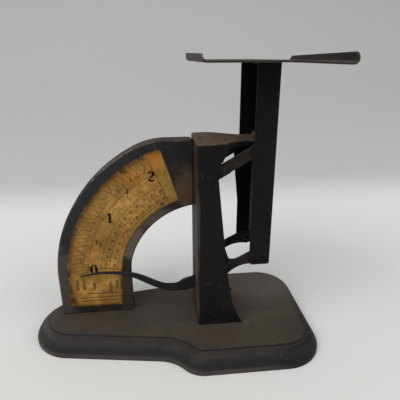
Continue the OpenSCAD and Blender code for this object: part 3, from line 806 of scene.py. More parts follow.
@dataclass(frozen=True)
class Japan:
    """Baked black enamel on sheet steel, as it looks after a century of use."""

    name: str
    ground: Colour
    browned: Colour
    dusty: Colour = paint(104, 93, 82)
    bare: Colour = paint(122, 114, 104)
    # Dark colour of the dirty mottling, also used for the painted shade along the base's groove.
    dirt_and_shade: Colour = paint(14, 12, 11)
    # Dark colour for faces that slope part way: a painted reflection of something dark.
    slope_reflection: Colour = paint(12, 12, 15)
    brown_share: float = 0.6
    dust_share: float = 0.3
    dust_spread: float = 0.5
    dust_from: float = 0.35
    mottled: float = 0.35
    wear_share: float = 0.25
    chip_share: float = 0.4
    # Strength of the painted shade along a groove.
    groove_shade_share: float = 0.6
    # Strength of the painted dark reflection on partly sloping faces.
    slope_reflection_share: float = 0.0
    patch: float = 20.0
    gloss: float = 0.45
    gleam: float = 0.2
    blots: tuple[Blot, ...] = ()
    rubbed: tuple[Blot, ...] = ()

    def material(self) -> Material:
        """Build the material.

        Returns:
            The material.
        """
        recipe = Recipe(self.name)
        spot = recipe.place()
        cloud = recipe.noise(spot, self.patch, 5.0, 0.6, 0.4)
        mottle = recipe.noise(spot, 2.6, 4.0, 0.6)
        grain = recipe.noise(spot, 0.5, 2.0)
        brown = (cloud + 0.3 * (mottle - 0.5)).rise(0.4, 0.64)
        colour = recipe.coats(self.ground, (brown * self.brown_share, self.browned),
                              (mottle.rise(0.56, 0.36) * self.mottled, self.dirt_and_shade))
        colour = recipe.stained(colour, spot, cloud, self.blots)
        _, _, up = recipe.axes(recipe.node("TexCoord", output="Normal"))
        # Painted reflection: faces that slope part way, such as the base's rim, take a dark colour that
        # stands in for a dark reflection.
        if self.slope_reflection_share:
            colour = recipe.blend(up.band(0.45, 0.7, 0.2) * self.slope_reflection_share, colour, self.slope_reflection)
        lying = up.rise(self.dust_from, 0.99) * (1 - self.dust_spread * mottle.rise(0.62, 0.36))
        long_way = recipe.noise(recipe.stretched(spot, (0.09, 1.0, 1.0)), 0.8, 2.0)
        tall_way = recipe.noise(recipe.stretched(spot, (1.0, 1.0, 0.07)), 0.8, 2.0)
        scratch = long_way.rise(0.69, 0.73).most(tall_way.rise(0.7, 0.74)) * mottle.rise(0.4, 0.6)
        # Painted shade along the groove that the mesh marks, broken up by the mottle.
        groove_shading = recipe.mark(Shape.GROOVE_SHADE).rise(0.1, 0.9) * mottle.rise(0.3, 0.6)
        flaking = recipe.noise(spot, 23.0, 1.0).rise(0.5, 0.56)
        chip = recipe.cells(spot, 7.0).rise(0.085, 0.05) * flaking
        rubbed: Value = self.wear_share
        for blot in self.rubbed:
            rubbed = recipe.cover(spot, cloud, blot).most(rubbed)
        worn = recipe.mark(Shape.WEAR) * recipe.noise(spot, 5.0, 4.0, 0.65).rise(0.4, 0.58)
        colour = recipe.coats(
            colour, (lying * self.dust_share, self.dusty), (scratch * 0.25, self.dusty),
            (groove_shading * self.groove_shade_share, self.dirt_and_shade), (worn * rubbed, self.bare),
            (chip * self.chip_share, self.bare))
        rough = self.gloss + 0.2 * mottle + 0.4 * lying * self.dust_share + 0.1 * grain
        height = mottle * 0.5 + grain * 0.35 - chip * 0.6 - scratch * 0.3
        return recipe.surface(colour, rough, recipe.bump(height, 0.09), gleam=self.gleam)


@dataclass(frozen=True)
class Tarnish:
    """Plain metal under brown tarnish, for rivets, screws, pivots and wire."""

    name: str
    metal: Colour
    film: Colour
    film_share: float = 0.6
    rust: Colour = paint(98, 56, 28)
    rust_share: float = 0.2
    gloss: float = 0.4
    shine: float = 0.8

    def material(self) -> Material:
        """Build the material.

        Returns:
            The material.
        """
        recipe = Recipe(self.name)
        spot = recipe.place()
        cloud = recipe.noise(spot, 2.2, 4.0, 0.6)
        fine = recipe.noise(spot, 0.35, 3.0)
        film = (cloud + 0.3 * (fine - 0.5)).rise(0.36, 0.62) * self.film_share
        rust = recipe.noise(recipe.shifted(spot, (31.0, 7.0, 3.0)), 1.5, 5.0, 0.7).rise(0.5, 0.64)
        rust = rust * self.rust_share
        worn = recipe.mark(Shape.WEAR) * 0.5
        colour = recipe.coats(self.metal, (film, self.film), (rust, self.rust),
                              (worn * (1 - rust), self.metal))
        rough = self.gloss + 0.25 * film + 0.3 * rust + 0.08 * fine
        shine = self.shine * (1 - (0.5 * film).most(rust))
        relief = recipe.bump(fine * 0.5 + cloud * 0.5 + rust, 0.05)
        return recipe.surface(colour, rough, relief, shine)


@dataclass(frozen=True)
class OldPaper:
    """Varnished printed paper, yellowed to ochre, darker at its edges."""

    name: str
    centre: Point
    inner: float
    outer: float
    pale: Colour = paint(170, 129, 66)
    ochre: Colour = paint(142, 103, 45)
    olive: Colour = paint(102, 75, 32)
    umber: Colour = paint(72, 47, 26)
    stain: Colour = paint(52, 34, 20)
    blots: tuple[Blot, ...] = ()

    def material(self) -> Material:
        """Build the material.

        Returns:
            The material.
        """
        recipe = Recipe(self.name)
        spot = recipe.place()
        x, _, z = recipe.axes(spot)
        across, up = x - self.centre[0], z - self.centre[1]
        radius = (across * across + up * up) ** 0.5
        cloud = recipe.noise(spot, 17.0, 4.0, 0.55, 0.5)
        mottle = recipe.noise(spot, 3.4, 4.0, 0.6)
        fibre = recipe.noise(spot, 0.4, 2.0)
        streak = recipe.noise(recipe.shifted(spot, (9.0, 0.0, 40.0)), 7.0, 5.0, 0.7, 1.0)
        rim = radius.rise(self.outer - 11.0, self.outer)
        rim = rim.most(radius.rise(self.inner + 4.0, self.inner))
        foot = z.rise(24.0, 17.5)
        edge = rim.most(foot) * (0.5 + 0.5 * mottle.rise(0.35, 0.6))
        dirty = radius.rise(self.outer - 5.0, self.outer - 0.8) * streak.rise(0.34, 0.6)
        colour = recipe.coats(
            self.pale, (cloud.rise(0.36, 0.64), self.ochre),
            (streak.rise(0.56, 0.4) * 0.5, self.olive), (mottle.rise(0.56, 0.36) * 0.4, self.olive),
            (edge * 0.65, self.olive), (dirty * 0.9, self.umber))
        colour = recipe.stained(colour, spot, cloud, self.blots)
        flecked = recipe.noise(spot, 15.0, 1.0).rise(0.52, 0.58)
        speck = recipe.cells(spot, 6.0).rise(0.1, 0.06) * flecked
        line = radius.rise(self.outer - 2.4, self.outer - 0.2).most(z.rise(20.6, 18.4))
        line = line.most(radius.rise(self.inner + 1.4, self.inner) * 0.8)
        line = line.most(x.rise(self.centre[0] - 60.6, self.centre[0] - 58.8) * z.rise(42.0, 38.0))
        stains = (speck * 0.6).most(line * mottle.rise(0.36, 0.56) * 0.85)
        colour = recipe.blend(stains, colour, self.stain)
        rough = 0.5 + 0.15 * mottle + 0.1 * fibre
        relief = recipe.bump(mottle * 0.6 + fibre * 0.4, 0.05)
        return recipe.surface(colour, rough, relief, gleam=0.12)


@dataclass(frozen=True)
class Ink:
    """Letterpress ink that has faded and worn off in places."""

    name: str
    full: Colour
    faded: Colour
    fade: float = 0.5

    def material(self) -> Material:
        """Build the material.

        Returns:
            The material.
        """
        recipe = Recipe(self.name)
        spot = recipe.place()
        cloud = recipe.noise(spot, 6.0, 3.0)
        fine = recipe.noise(spot, 0.8, 2.0)
        gone = (cloud * 0.6 + fine * 0.4).rise(0.42, 0.62) * self.fade
        colour = recipe.blend(gone, self.full, self.faded)
        return recipe.surface(colour, 0.6 + 0.1 * fine, gleam=0.1)


@dataclass(frozen=True)
class Layout:
    """Places that every sub-assembly shares, read from the frame, in millimetres.

    The dial's centre lies a little to the left of the lower fixed pivot and below it.
    """

    PIVOT_FROM_DIAL: ClassVar[Point] = (0.5, 2.6)

    pivot_x: float
    pivot_z: float
    upper_pivot_z: float
    moving_x: float
    moving_z: float
    shift: float
    dial_z: float
    base_h: float
    column_top: float
    platform_under: float

    @staticmethod
    def from_frame() -> Layout:
        """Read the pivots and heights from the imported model.

        Returns:
            The places.
        """
        joints = {joint["name"]: joint for joint in frame["record"]["behaviour"]["joints"]}

        def place(joint: str) -> Vector:
            """Return a joint's place in millimetres."""
            return Vector(joints[joint]["pos_m"]) / MM

        lower, upper = place("lever_swing"), place("upper_link_swing")
        moving = place("plunger_level")
        return Layout(
            pivot_x=lower.x, pivot_z=lower.z, upper_pivot_z=upper.z,
            moving_x=moving.x, moving_z=moving.z,
            shift=lower.x - Layout.PIVOT_FROM_DIAL[0], dial_z=lower.z - Layout.PIVOT_FROM_DIAL[1],
            base_h=heights("base")[1], column_top=heights("column")[1],
            platform_under=heights("platform")[0],
        )


def heights(node: str) -> Point:
    """Return the heights of a node's lowest and highest point in millimetres."""
    low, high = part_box(node)
    return low[2] / MM, high[2] / MM


class Finishes:
    """Every material of the scale, made once."""

    def __init__(self, lay: Layout) -> None:
        """Make the materials.

        Args:
            lay: Places that every sub-assembly shares.
        """
        bluish, brown = paint(27, 29, 34), paint(78, 68, 58)
        self.base = Japan(
            "aged_japan_base", paint(30, 28, 27), paint(46, 39, 34), dusty=paint(96, 84, 74),
            # Painted shade along the groove and a painted dark reflection on the sloping rim.
            dust_share=0.25, dust_spread=0.12, dust_from=0.9, mottled=0.12, brown_share=0.8,
            chip_share=0.2, groove_shade_share=0.6, slope_reflection_share=0.75, patch=24.0, gloss=0.42, gleam=0.2,
            blots=(
                # Painted reflection: the far part of the top is lighter, standing in for sheen seen at a
                # grazing angle.
                Blot((62.0, 30.0, 12.4), (36.0, 26.0, 5.0), paint(98, 90, 85), 0.5, 1.0, 1.0),
                Blot((-95.0, -8.0, 5.0), (15.0, 40.0, 8.0), paint(82, 79, 75), 0.55, 1.0, 1.0),
                # Painted light: the low front rim is lighter, standing in for light thrown up from the
                # table.
                Blot((10.0, -40.0, 1.5), (130.0, 26.0, 3.2), paint(78, 73, 69), 0.36, 0.8, 0.8),
                # Painted shade: the near part of the pad's top is darker, the dim end of the painted sheen
                # on the top.
                Blot((28.0, -34.0, 12.4), (34.0, 12.0, 3.0), paint(20, 17, 16), 0.6, 1.0, 0.6),
                # Painted shadow: the front right corner is nearly black, as in the shadow of a thing
                # standing beside the scale.
                Blot((88.0, -38.0, 7.0), (30.0, 30.0, 14.0), paint(6, 5, 5), 0.95, 1.0, 0.6),
            )).material()
        self.column = Japan(
            "aged_japan_column", paint(14, 13, 15), paint(24, 20, 19), dusty=paint(120, 98, 82),
            dust_share=0.6, brown_share=0.35, wear_share=0.1, chip_share=0.08, gleam=0.12, blots=(
                Blot((15.3, 0.0, 90.0), (0.8, 40.0, 90.0), paint(66, 50, 40), 0.6),
                Blot((15.3, -18.0, 30.0), (1.0, 8.0, 40.0), paint(60, 52, 44), 0.5),
                Blot((47.5, 7.0, 136.5), (6.0, 5.0, 1.5), paint(88, 76, 50), 0.5),
                Blot((30.0, -20.2, 126.0), (22.0, 3.0, 22.0), paint(6, 6, 8), 0.8, 1.0, 0.6),
                # Grey strip down the front left edge: edge wear with a painted highlight along it.
                Blot((15.6, -20.2, 84.0), (1.4, 2.4, 34.0), paint(66, 68, 70), 0.45),
                Blot((15.6, -20.2, 21.0), (0.9, 3.0, 9.0), paint(96, 70, 42), 0.25, 0.9, 4.0),
            )).material()
        self.case = Japan(
            "aged_japan_case", paint(24, 21, 21), paint(40, 32, 28), bare=paint(98, 90, 80),
            patch=13.0, blots=(
                Blot((-57.0, 1.7, 96.0), (22.0, 9.0, 34.0), bluish, 0.8),
                Blot((-28.0, 1.7, 124.0), (32.0, 9.0, 16.0), bluish, 0.5),
                # Painted light: the next three patches lighten the band along the inner edge, where light
                # falls on it.
                Blot((-28.0, 1.7, 70.0), (8.0, 2.0, 16.0), paint(88, 77, 66), 0.75),
                Blot((-13.0, 1.7, 84.0), (24.0, 2.0, 7.0), brown, 0.65),
                Blot((-32.0, 1.7, 26.0), (5.0, 9.0, 22.0), paint(52, 40, 36), 0.65),
                Blot((10.0, 1.7, 104.0), (7.0, 9.0, 14.0), paint(74, 54, 40), 0.75),
                Blot((6.0, 1.7, 128.0), (16.0, 9.0, 8.0), paint(14, 12, 12), 0.6),
                Blot((-75.0, 1.7, 34.0), (8.0, 9.0, 28.0), paint(70, 62, 58), 0.6),
            ), rubbed=(Blot((-38.0, 1.7, 122.0), (30.0, 9.0, 16.0), share=0.6),)).material()
        self.plunger = Japan(
            "aged_japan_plunger", paint(11, 11, 15), paint(20, 17, 19), brown_share=0.6,
            dust_share=0.15, chip_share=0.08, wear_share=0.12, gleam=0.1).material()
        self.link = Japan(
            "aged_japan_links", paint(16, 14, 14), paint(40, 31, 26), patch=9.0,
            gleam=0.15).material()
        self.platform = Japan(
            "aged_japan_platform", paint(27, 24, 26), paint(50, 42, 37), bare=paint(104, 94, 84),
            dust_share=0.4, dust_spread=0.15, mottled=0.15, wear_share=0.35, patch=26.0, blots=(
                Blot((14.8, 0.0, 184.4), (4.0, 60.0, 5.0), paint(54, 48, 45), 0.7),
            )).material()
        self.pointer = Japan(
            "pointer_black", paint(15, 14, 16), paint(34, 28, 26), patch=9.0, dust_share=0.1,
            wear_share=0.15).material()
        self.steel = Tarnish("tarnished_steel", paint(120, 112, 104), paint(58, 48, 42)).material()
        self.brass = Tarnish(
            "dull_brass", paint(150, 122, 66), paint(88, 66, 36), 0.6, rust_share=0.1).material()
        self.rusty = Tarnish(
            "rusty_brass", paint(110, 84, 48), paint(66, 48, 30), 0.8, rust=paint(84, 54, 28),
            rust_share=0.7, shine=0.5).material()
        self.wire = Tarnish("spring_wire", paint(118, 110, 102), paint(66, 56, 48), 0.5,
                            rust_share=0.15).material()
        orange, olive, worn = paint(166, 100, 34), paint(108, 84, 38), paint(34, 24, 18)
        self.paper = OldPaper(
            "yellowed_paper", (lay.shift, lay.dial_z), Dial.paper_inner, Dial.paper_outer, blots=(
                Blot((-10.0, 1.5, 122.0), (6.0, 3.0, 6.0), orange, 0.5),
                Blot((-27.0, 1.5, 112.0), (9.0, 3.0, 5.0), orange, 0.4),
                Blot((0.0, 1.5, 98.0), (6.0, 3.0, 14.0), olive, 0.5),
                Blot((-43.0, 1.5, 71.0), (10.0, 3.0, 14.0), olive, 0.6),
                Blot((-40.0, 1.5, 25.0), (11.0, 3.0, 8.0), paint(98, 66, 28), 0.6),
                *(Blot((x, 1.5, z), (long, 3.0, high), worn, 0.85, 0.4, 2.5)
                  for x, z, long, high in (
                      (-29.0, 115.8, 3.0, 1.8), (-72.2, 39.0, 1.1, 1.9), (-5.6, 93.3, 1.3, 1.3))),
            )).material()
        self.inks = {
            "black": Ink("black_ink", paint(16, 11, 8), paint(52, 34, 18), 0.35).material(),
            "brown": Ink("brown_ink", paint(62, 43, 23), paint(112, 82, 42), 0.5).material(),
            "faint": Ink("faint_ink", paint(108, 82, 46), paint(150, 114, 62), 0.5).material(),
            "red": Ink("red_ink", paint(120, 52, 26), paint(160, 96, 44), 0.6).material(),
        }


@dataclass
class BaseShell:
    """The stamped base: a tongue under the dial and a wide pad under the column."""

    lay: Layout
    left: float = 118.3
    right: float = 72.8
    pad_half: float = 52.7
    wall: float = 1.2
    tongue_root: Point = (-30.5, 38.0)
    tongue_end: Point = (-95.0, 27.9)
    pad_corner: float = 26.0
    shoulder_r: float = 17.0
    shoulder_x: float = -5.0
    waist_r: float = 24.0
    groove: float = 0.6
    groove_at: int = 6
    rim_edge: float = 0.25
    rim: tuple[Point, ...] = (
        (0.0, 0.22), (0.35, 0.3), (1.1, 0.42), (2.3, 0.58), (4.2, 0.74),
        (6.6, 0.85), (8.7, 0.91), (9.1, 0.98), (9.6, 1.0),
    )

    def outline(self) -> Outline:
        """Draw the rim in plan, from the right end round to the left and back.

        Returns:
            The closed outline.
        """
        run = self.tongue_root[0] - self.tongue_end[0]
        slope = math.atan2(self.tongue_root[1] - self.tongue_end[1], run)
        along = Vector((math.cos(slope), math.sin(slope)))
        across = Vector((-math.sin(slope), math.cos(slope)))
        start = Vector(self.tongue_end)
        shoulder = Vector((self.shoulder_x, self.pad_half - self.shoulder_r))
        over = (shoulder - start).dot(across)
        ahead = (shoulder - start).dot(along)
        back = math.sqrt((self.shoulder_r + self.waist_r) ** 2 - (self.waist_r - over) ** 2)
        waist = start + along * (ahead - back) + across * self.waist_r
        turn = direction(shoulder, waist)
        reach = self.tongue_end[1] - math.tan(slope) * (self.left + self.tongue_end[0])
        end_r = reach * math.cos(slope) / (1 - math.sin(slope))
        lean = math.degrees(slope)
        half = Outline()
        half.arc((self.right - self.pad_corner, self.pad_half - self.pad_corner),
                 self.pad_corner, 0, 90, 24)
        half.arc(shoulder, self.shoulder_r, 90, turn, 16)
        half.arc(waist, self.waist_r, turn + 180, 270 + lean, 16)
        half.arc((end_r - self.left, 0), end_r, 90 + lean, 180, 28)
        return half.doubled().moved(self.lay.shift, 0)

    def build(self, looks: Finishes) -> None:
        """Model the shell and dress it.

        Args:
            looks: The materials.
        """
        shape = Shape()
        stations = [(inset, share * self.lay.base_h) for inset, share in self.rim]
        top = shape.tray(self.outline(), Sheet.PLAN, 0.0, stations[0][1])
        if top[0].normal.z < 0:
            bmesh.ops.reverse_faces(shape.mesh, faces=top)
        curved = self.groove_at + 1
        stations = smooth_line(stations[:curved], 4) + stations[curved:]
        for (inset, height), (next_inset, next_height) in zip(stations, stations[1:]):
            bmesh.ops.inset_region(shape.mesh, faces=top, thickness=next_inset - inset,
                                   depth=next_height - height, use_even_offset=True)
        shape.outwards(0, 0, 1)
        # Paint shade along the groove's step, fading out over the groove's width.
        step = self.rim[self.groove_at][1] * self.lay.base_h
        shape.mark_groove_shade(lambda spot: 1 - abs(spot.z - step) / self.groove)
        shape.thicken(self.wall)
        shape.soften(self.rim_edge, where=lies_at(2, 0.0), least=35.0)
        shape.hand_over("base_shell", "base", looks.base, "japanned_base", "base")


@dataclass
class Column:
    """The folded column, open to the right, with the horn at its top."""

    lay: Layout
    half: float = 20.2
    web_x: float = 7.4
    wall: float = 1.2
    corner: float = 2.5
    horn_half: float = 9.6
    taper: Point = (2.0, 25.0)
    edge_x: float = 5.6
    edge_below_top: float = 21.3
    horn_below_top: float = 12.7
    horn_side: float = 3.7
    throat: float = 9.0
    lean: float = 0.1
    flare: float = 7.5
    flare_h: float = 12.0
    horn_end: float = 37.0
    slot_y: Point = (-3.4, 1.0)
    slot_z: Point = (14.0, 10.7)
    foot: float = 11.0
    foot_gap: float = 0.1
    fold: Point = (24.0, 9.0)
    fold_step: float = 2.0
    fold_cuts: int = 9
    taper_step: float = 1.6
    taper_cuts: int = 16
    flange_steps: int = 24
    throat_steps: int = 16
    top_r: float = 1.3
    edge_r: float = 0.28

    def half_at(self, x: float) -> float:
        """Return half the width in plan, which narrows along the horn."""
        share = min(max((x - self.taper[0]) / (self.taper[1] - self.taper[0]), 0.0), 1.0)
        return self.horn_half + (self.half - self.horn_half) * (1 + math.cos(math.pi * share)) / 2

    def edge_at(self, z: float) -> float:
        """Return how far right the flanges reach at a height.

        Args:
            z: The height.

        Returns:
            The edge's place along X, before the column's shift.
        """
        straight = self.lay.column_top - self.edge_below_top
        return (self.edge_x + self.lean * (straight - z)
                + self.flare * math.exp((self.lay.base_h - z) / self.flare_h))

    def flange(self) -> Outline:
        """Draw a flange from the side, with the horn on it.

        Returns:
            The closed outline.
        """
        top, foot = self.lay.column_top, self.lay.base_h
        straight = top - self.edge_below_top
        throat_z = top - self.horn_below_top
        rise = top - self.horn_side - throat_z
        rest = self.flare * math.exp((foot - straight) / self.flare_h)
        outline = Outline((self.corner - self.web_x, foot))
        for i in range(self.flange_steps + 1):
            z = foot + (straight - foot) * (i / self.flange_steps) ** 1.8
            outline.to((self.edge_at(z) - rest, z))
        for i in range(self.throat_steps + 1):
            share = i / self.throat_steps
            outline.to((self.edge_x + self.throat * share,
                        throat_z + rise * (1 - math.cos(math.pi * share)) / 2))
        return outline.to((self.horn_end, top - self.horn_side), (self.horn_end, top),
                          (self.corner - self.web_x, top))

    def folded(self, spot: Vector) -> Vector:
        """Draw the flanges in towards the horn.

        Args:
            spot: A point of the mesh.

        Returns:
            Where it goes.
        """
        high = self.lay.column_top
        share = smoothstep(spot.z, high - self.fold[0], high - self.fold[1])
        if abs(spot.y) < self.half - CLOSE or spot.x < self.taper[0]:
            return spot
        y = self.half + (self.half_at(spot.x) - self.half) * share
        return Vector((spot.x, math.copysign(y, spot.y), spot.z))

    def build(self, looks: Finishes) -> None:
        """Model the column and dress it.

        Args:
            looks: The materials.
        """
        top, foot = self.lay.column_top, self.lay.base_h
        shape = Shape()
        for side in (-1, 1):
            shape.polygon(self.flange(), Sheet.SIDE, side * self.half)
        centre = (self.corner - self.web_x, self.half - self.corner)
        web = Outline().arc(centre, self.corner, 90, 180, 8).doubled()
        shape.extrude_edges(shape.path(web, Sheet.PLAN, foot), Vector((0, 0, top - foot)))
        shape.merge()
        for i in range(self.fold_cuts):
            shape.cut(2, top - self.fold[0] + self.fold_step * i)
        for i in range(self.taper_cuts):
            shape.cut(0, self.taper[0] + self.taper_step * i)
        shape.move(self.folded)
        self._slot(shape)
        self._cap(shape)
        shape.outwards(-1, 0, 0)
        shape.soften(self.top_r, 5, lies_at(2, top))
        shape.thicken(self.wall)
        shape.soften(self.edge_r)
        side = self.half - self.wall - self.foot_gap
        shape.plate(rectangle(self.foot_gap + self.wall - self.web_x, -side, self.foot, side),
                    Sheet.PLAN, foot, self.wall)
        shape.shift(self.lay.shift, 0, 0)
        shape.hand_over("column_channel", "base", looks.column, "japanned_steel", "column")

    def _slot(self, shape: Shape) -> None:
        """Cut the pointer's slot through the web.

        Args:
            shape: The column's sheet.
        """
        low, high = self.lay.pivot_z - self.slot_z[0], self.lay.pivot_z + self.slot_z[1]
        on_web = lies_at(0, -self.web_x)
        for axis, level in ((1, self.slot_y[0]), (1, self.slot_y[1]), (2, low), (2, high)):
            shape.cut(axis, level, filter(on_web, shape.mesh.faces))
        hole = [face for face in filter(on_web, shape.mesh.faces)
                if self.slot_y[0] < face.calc_center_median().y < self.slot_y[1]
                and low < face.calc_center_median().z < high]
        bmesh.ops.delete(shape.mesh, geom=hole, context="FACES")

    def _cap(self, shape: Shape) -> None:
        """Close the top with one plate.

        Args:
            shape: The column's sheet.
        """
        rim = list(filter(lies_at(2, self.lay.column_top), shape.mesh.edges))
        ends = [vert for vert in {vert for edge in rim for vert in edge.verts}
                if abs(vert.co.x - self.horn_end) < CLOSE]
        rim.append(shape.mesh.edges.new(ends))
        bmesh.ops.contextual_create(shape.mesh, geom=rim)


@dataclass
class Dial:
    """The pressed dial case and the paper on its front."""

    lay: Layout
    front: float = 1.7
    depth: float = 9.0
    wall: float = 0.9
    outer: float = 101.0
    inner: float = 51.8
    drop: float = 1.1
    blend: float = 45.0
    corner: float = 3.0
    paper: float = 0.2
    paper_outer: float = 94.2
    paper_inner: float = 57.9
    paper_end: float = 72.4
    paper_corner: float = 2.0
    paper_foot: float = 5.9
    paper_flare: Point = (1.3, 1.2)
    front_r: float = 1.5
    edge_r: float = 0.2

    def case_outline(self) -> Outline:
        """Draw the case from the front: an arc with a flat top, on a straight leg.

        Returns:
            The closed outline.
        """
        lay = self.lay
        flat = lay.column_top - self.drop - lay.dial_z
        blend_x = -math.sqrt((self.outer - self.blend) ** 2 - (flat - self.blend) ** 2)
        centre = (blend_x, flat - self.blend)
        turn = direction((0, 0), centre)
        side = -Column.web_x
        foot = lay.base_h - lay.dial_z
        outline = Outline((-self.outer, foot))
        outline.arc((0, 0), self.outer, 180, turn, 64)
        outline.arc(centre, self.blend, turn, 90, 20)
        outline.arc((side - self.corner, flat - self.corner), self.corner, 90, 0, 8)
        outline.arc((0, 0), self.inner, math.degrees(math.acos(side / self.inner)), 180, 56)
        outline.to((-self.inner, foot))
        return outline.moved(lay.shift, lay.dial_z)

    def paper_outline(self) -> Outline:
        """Draw the paper: a sector with two round corners, and its foot.

        Returns:
            The closed outline.
        """
        upper = 180 - self.paper_end
        far, near = self.paper_outer - self.paper_corner, self.paper_inner + self.paper_corner
        far_turn = upper + math.degrees(math.asin(self.paper_corner / far))
        near_turn = upper + math.degrees(math.asin(self.paper_corner / near))
        foot = self.lay.base_h + self.paper_foot - self.lay.dial_z

        def on(radius: float, angle: float) -> Point:
            """Return a point round the dial's centre."""
            return (radius * math.cos(math.radians(angle)), radius * math.sin(math.radians(angle)))

        outline = Outline((-self.paper_outer - self.paper_flare[0], foot))
        outline.arc((0, 0), self.paper_outer, 180, far_turn, 64)
        outline.arc(on(far, far_turn), self.paper_corner, far_turn, upper - 90, 8)
        outline.arc(on(near, near_turn), self.paper_corner, upper - 90, near_turn - 180, 8)
        outline.arc((0, 0), self.paper_inner, near_turn, 180, 56)
        outline.to((-self.paper_inner - self.paper_flare[1], foot))
        return outline.moved(self.lay.shift, self.lay.dial_z)

    def build(self, looks: Finishes) -> None:
        """Model the case and the paper, and dress them.

        Args:
            looks: The materials.
        """
        tray = Shape()
        tray.tray(self.case_outline(), Sheet.SIDE, self.front + self.depth, -self.depth)
        tray.outwards(0, -1, 0)
        tray.soften(self.front_r, 4, lies_at(1, self.front))
        tray.thicken(self.wall)
        tray.soften(self.edge_r)
        tray.hand_over("dial_tray", "base", looks.case, "dial_case", "dial_case")
        paper = Shape()
        paper.plate(self.paper_outline(), Sheet.SIDE, self.front - self.paper, self.paper)
        paper.outwards(0, -1, 0)
        paper.hand_over("dial_sheet", "base", looks.paper, "printed_paper", "dial_paper")


FIGURES: Mapping[str, tuple[tuple[Triple, ...], ...]] = {
    "0": (((0.0, 0.48, 0.07), (-0.17, 0.36, 0.17), (-0.235, 0.0, 0.27), (-0.17, -0.36, 0.17),
           (0.0, -0.48, 0.07)),
          ((0.0, 0.48, 0.07), (0.17, 0.36, 0.17), (0.235, 0.0, 0.27), (0.17, -0.36, 0.17),
           (0.0, -0.48, 0.07))),
    "1": (((0.02, -0.47, 0.25), (0.02, 0.49, 0.25)), ((-0.22, -0.47, 0.09), (0.26, -0.47, 0.09)),
          ((-0.21, 0.32, 0.07), (-0.08, 0.38, 0.12), (0.04, 0.49, 0.12))),
    "2": (((-0.22, 0.26, 0.2), (-0.13, 0.37, 0.17), (0.02, 0.44, 0.12), (0.17, 0.34, 0.22),
           (0.19, 0.18, 0.25), (0.07, -0.02, 0.17), (-0.1, -0.2, 0.1), (-0.24, -0.38, 0.09)),
          ((-0.28, -0.4, 0.15), (-0.1, -0.36, 0.19), (0.1, -0.42, 0.2), (0.27, -0.34, 0.15))),
}
"""The strokes of each figure: stations of a place and a width, for a height of 1."""


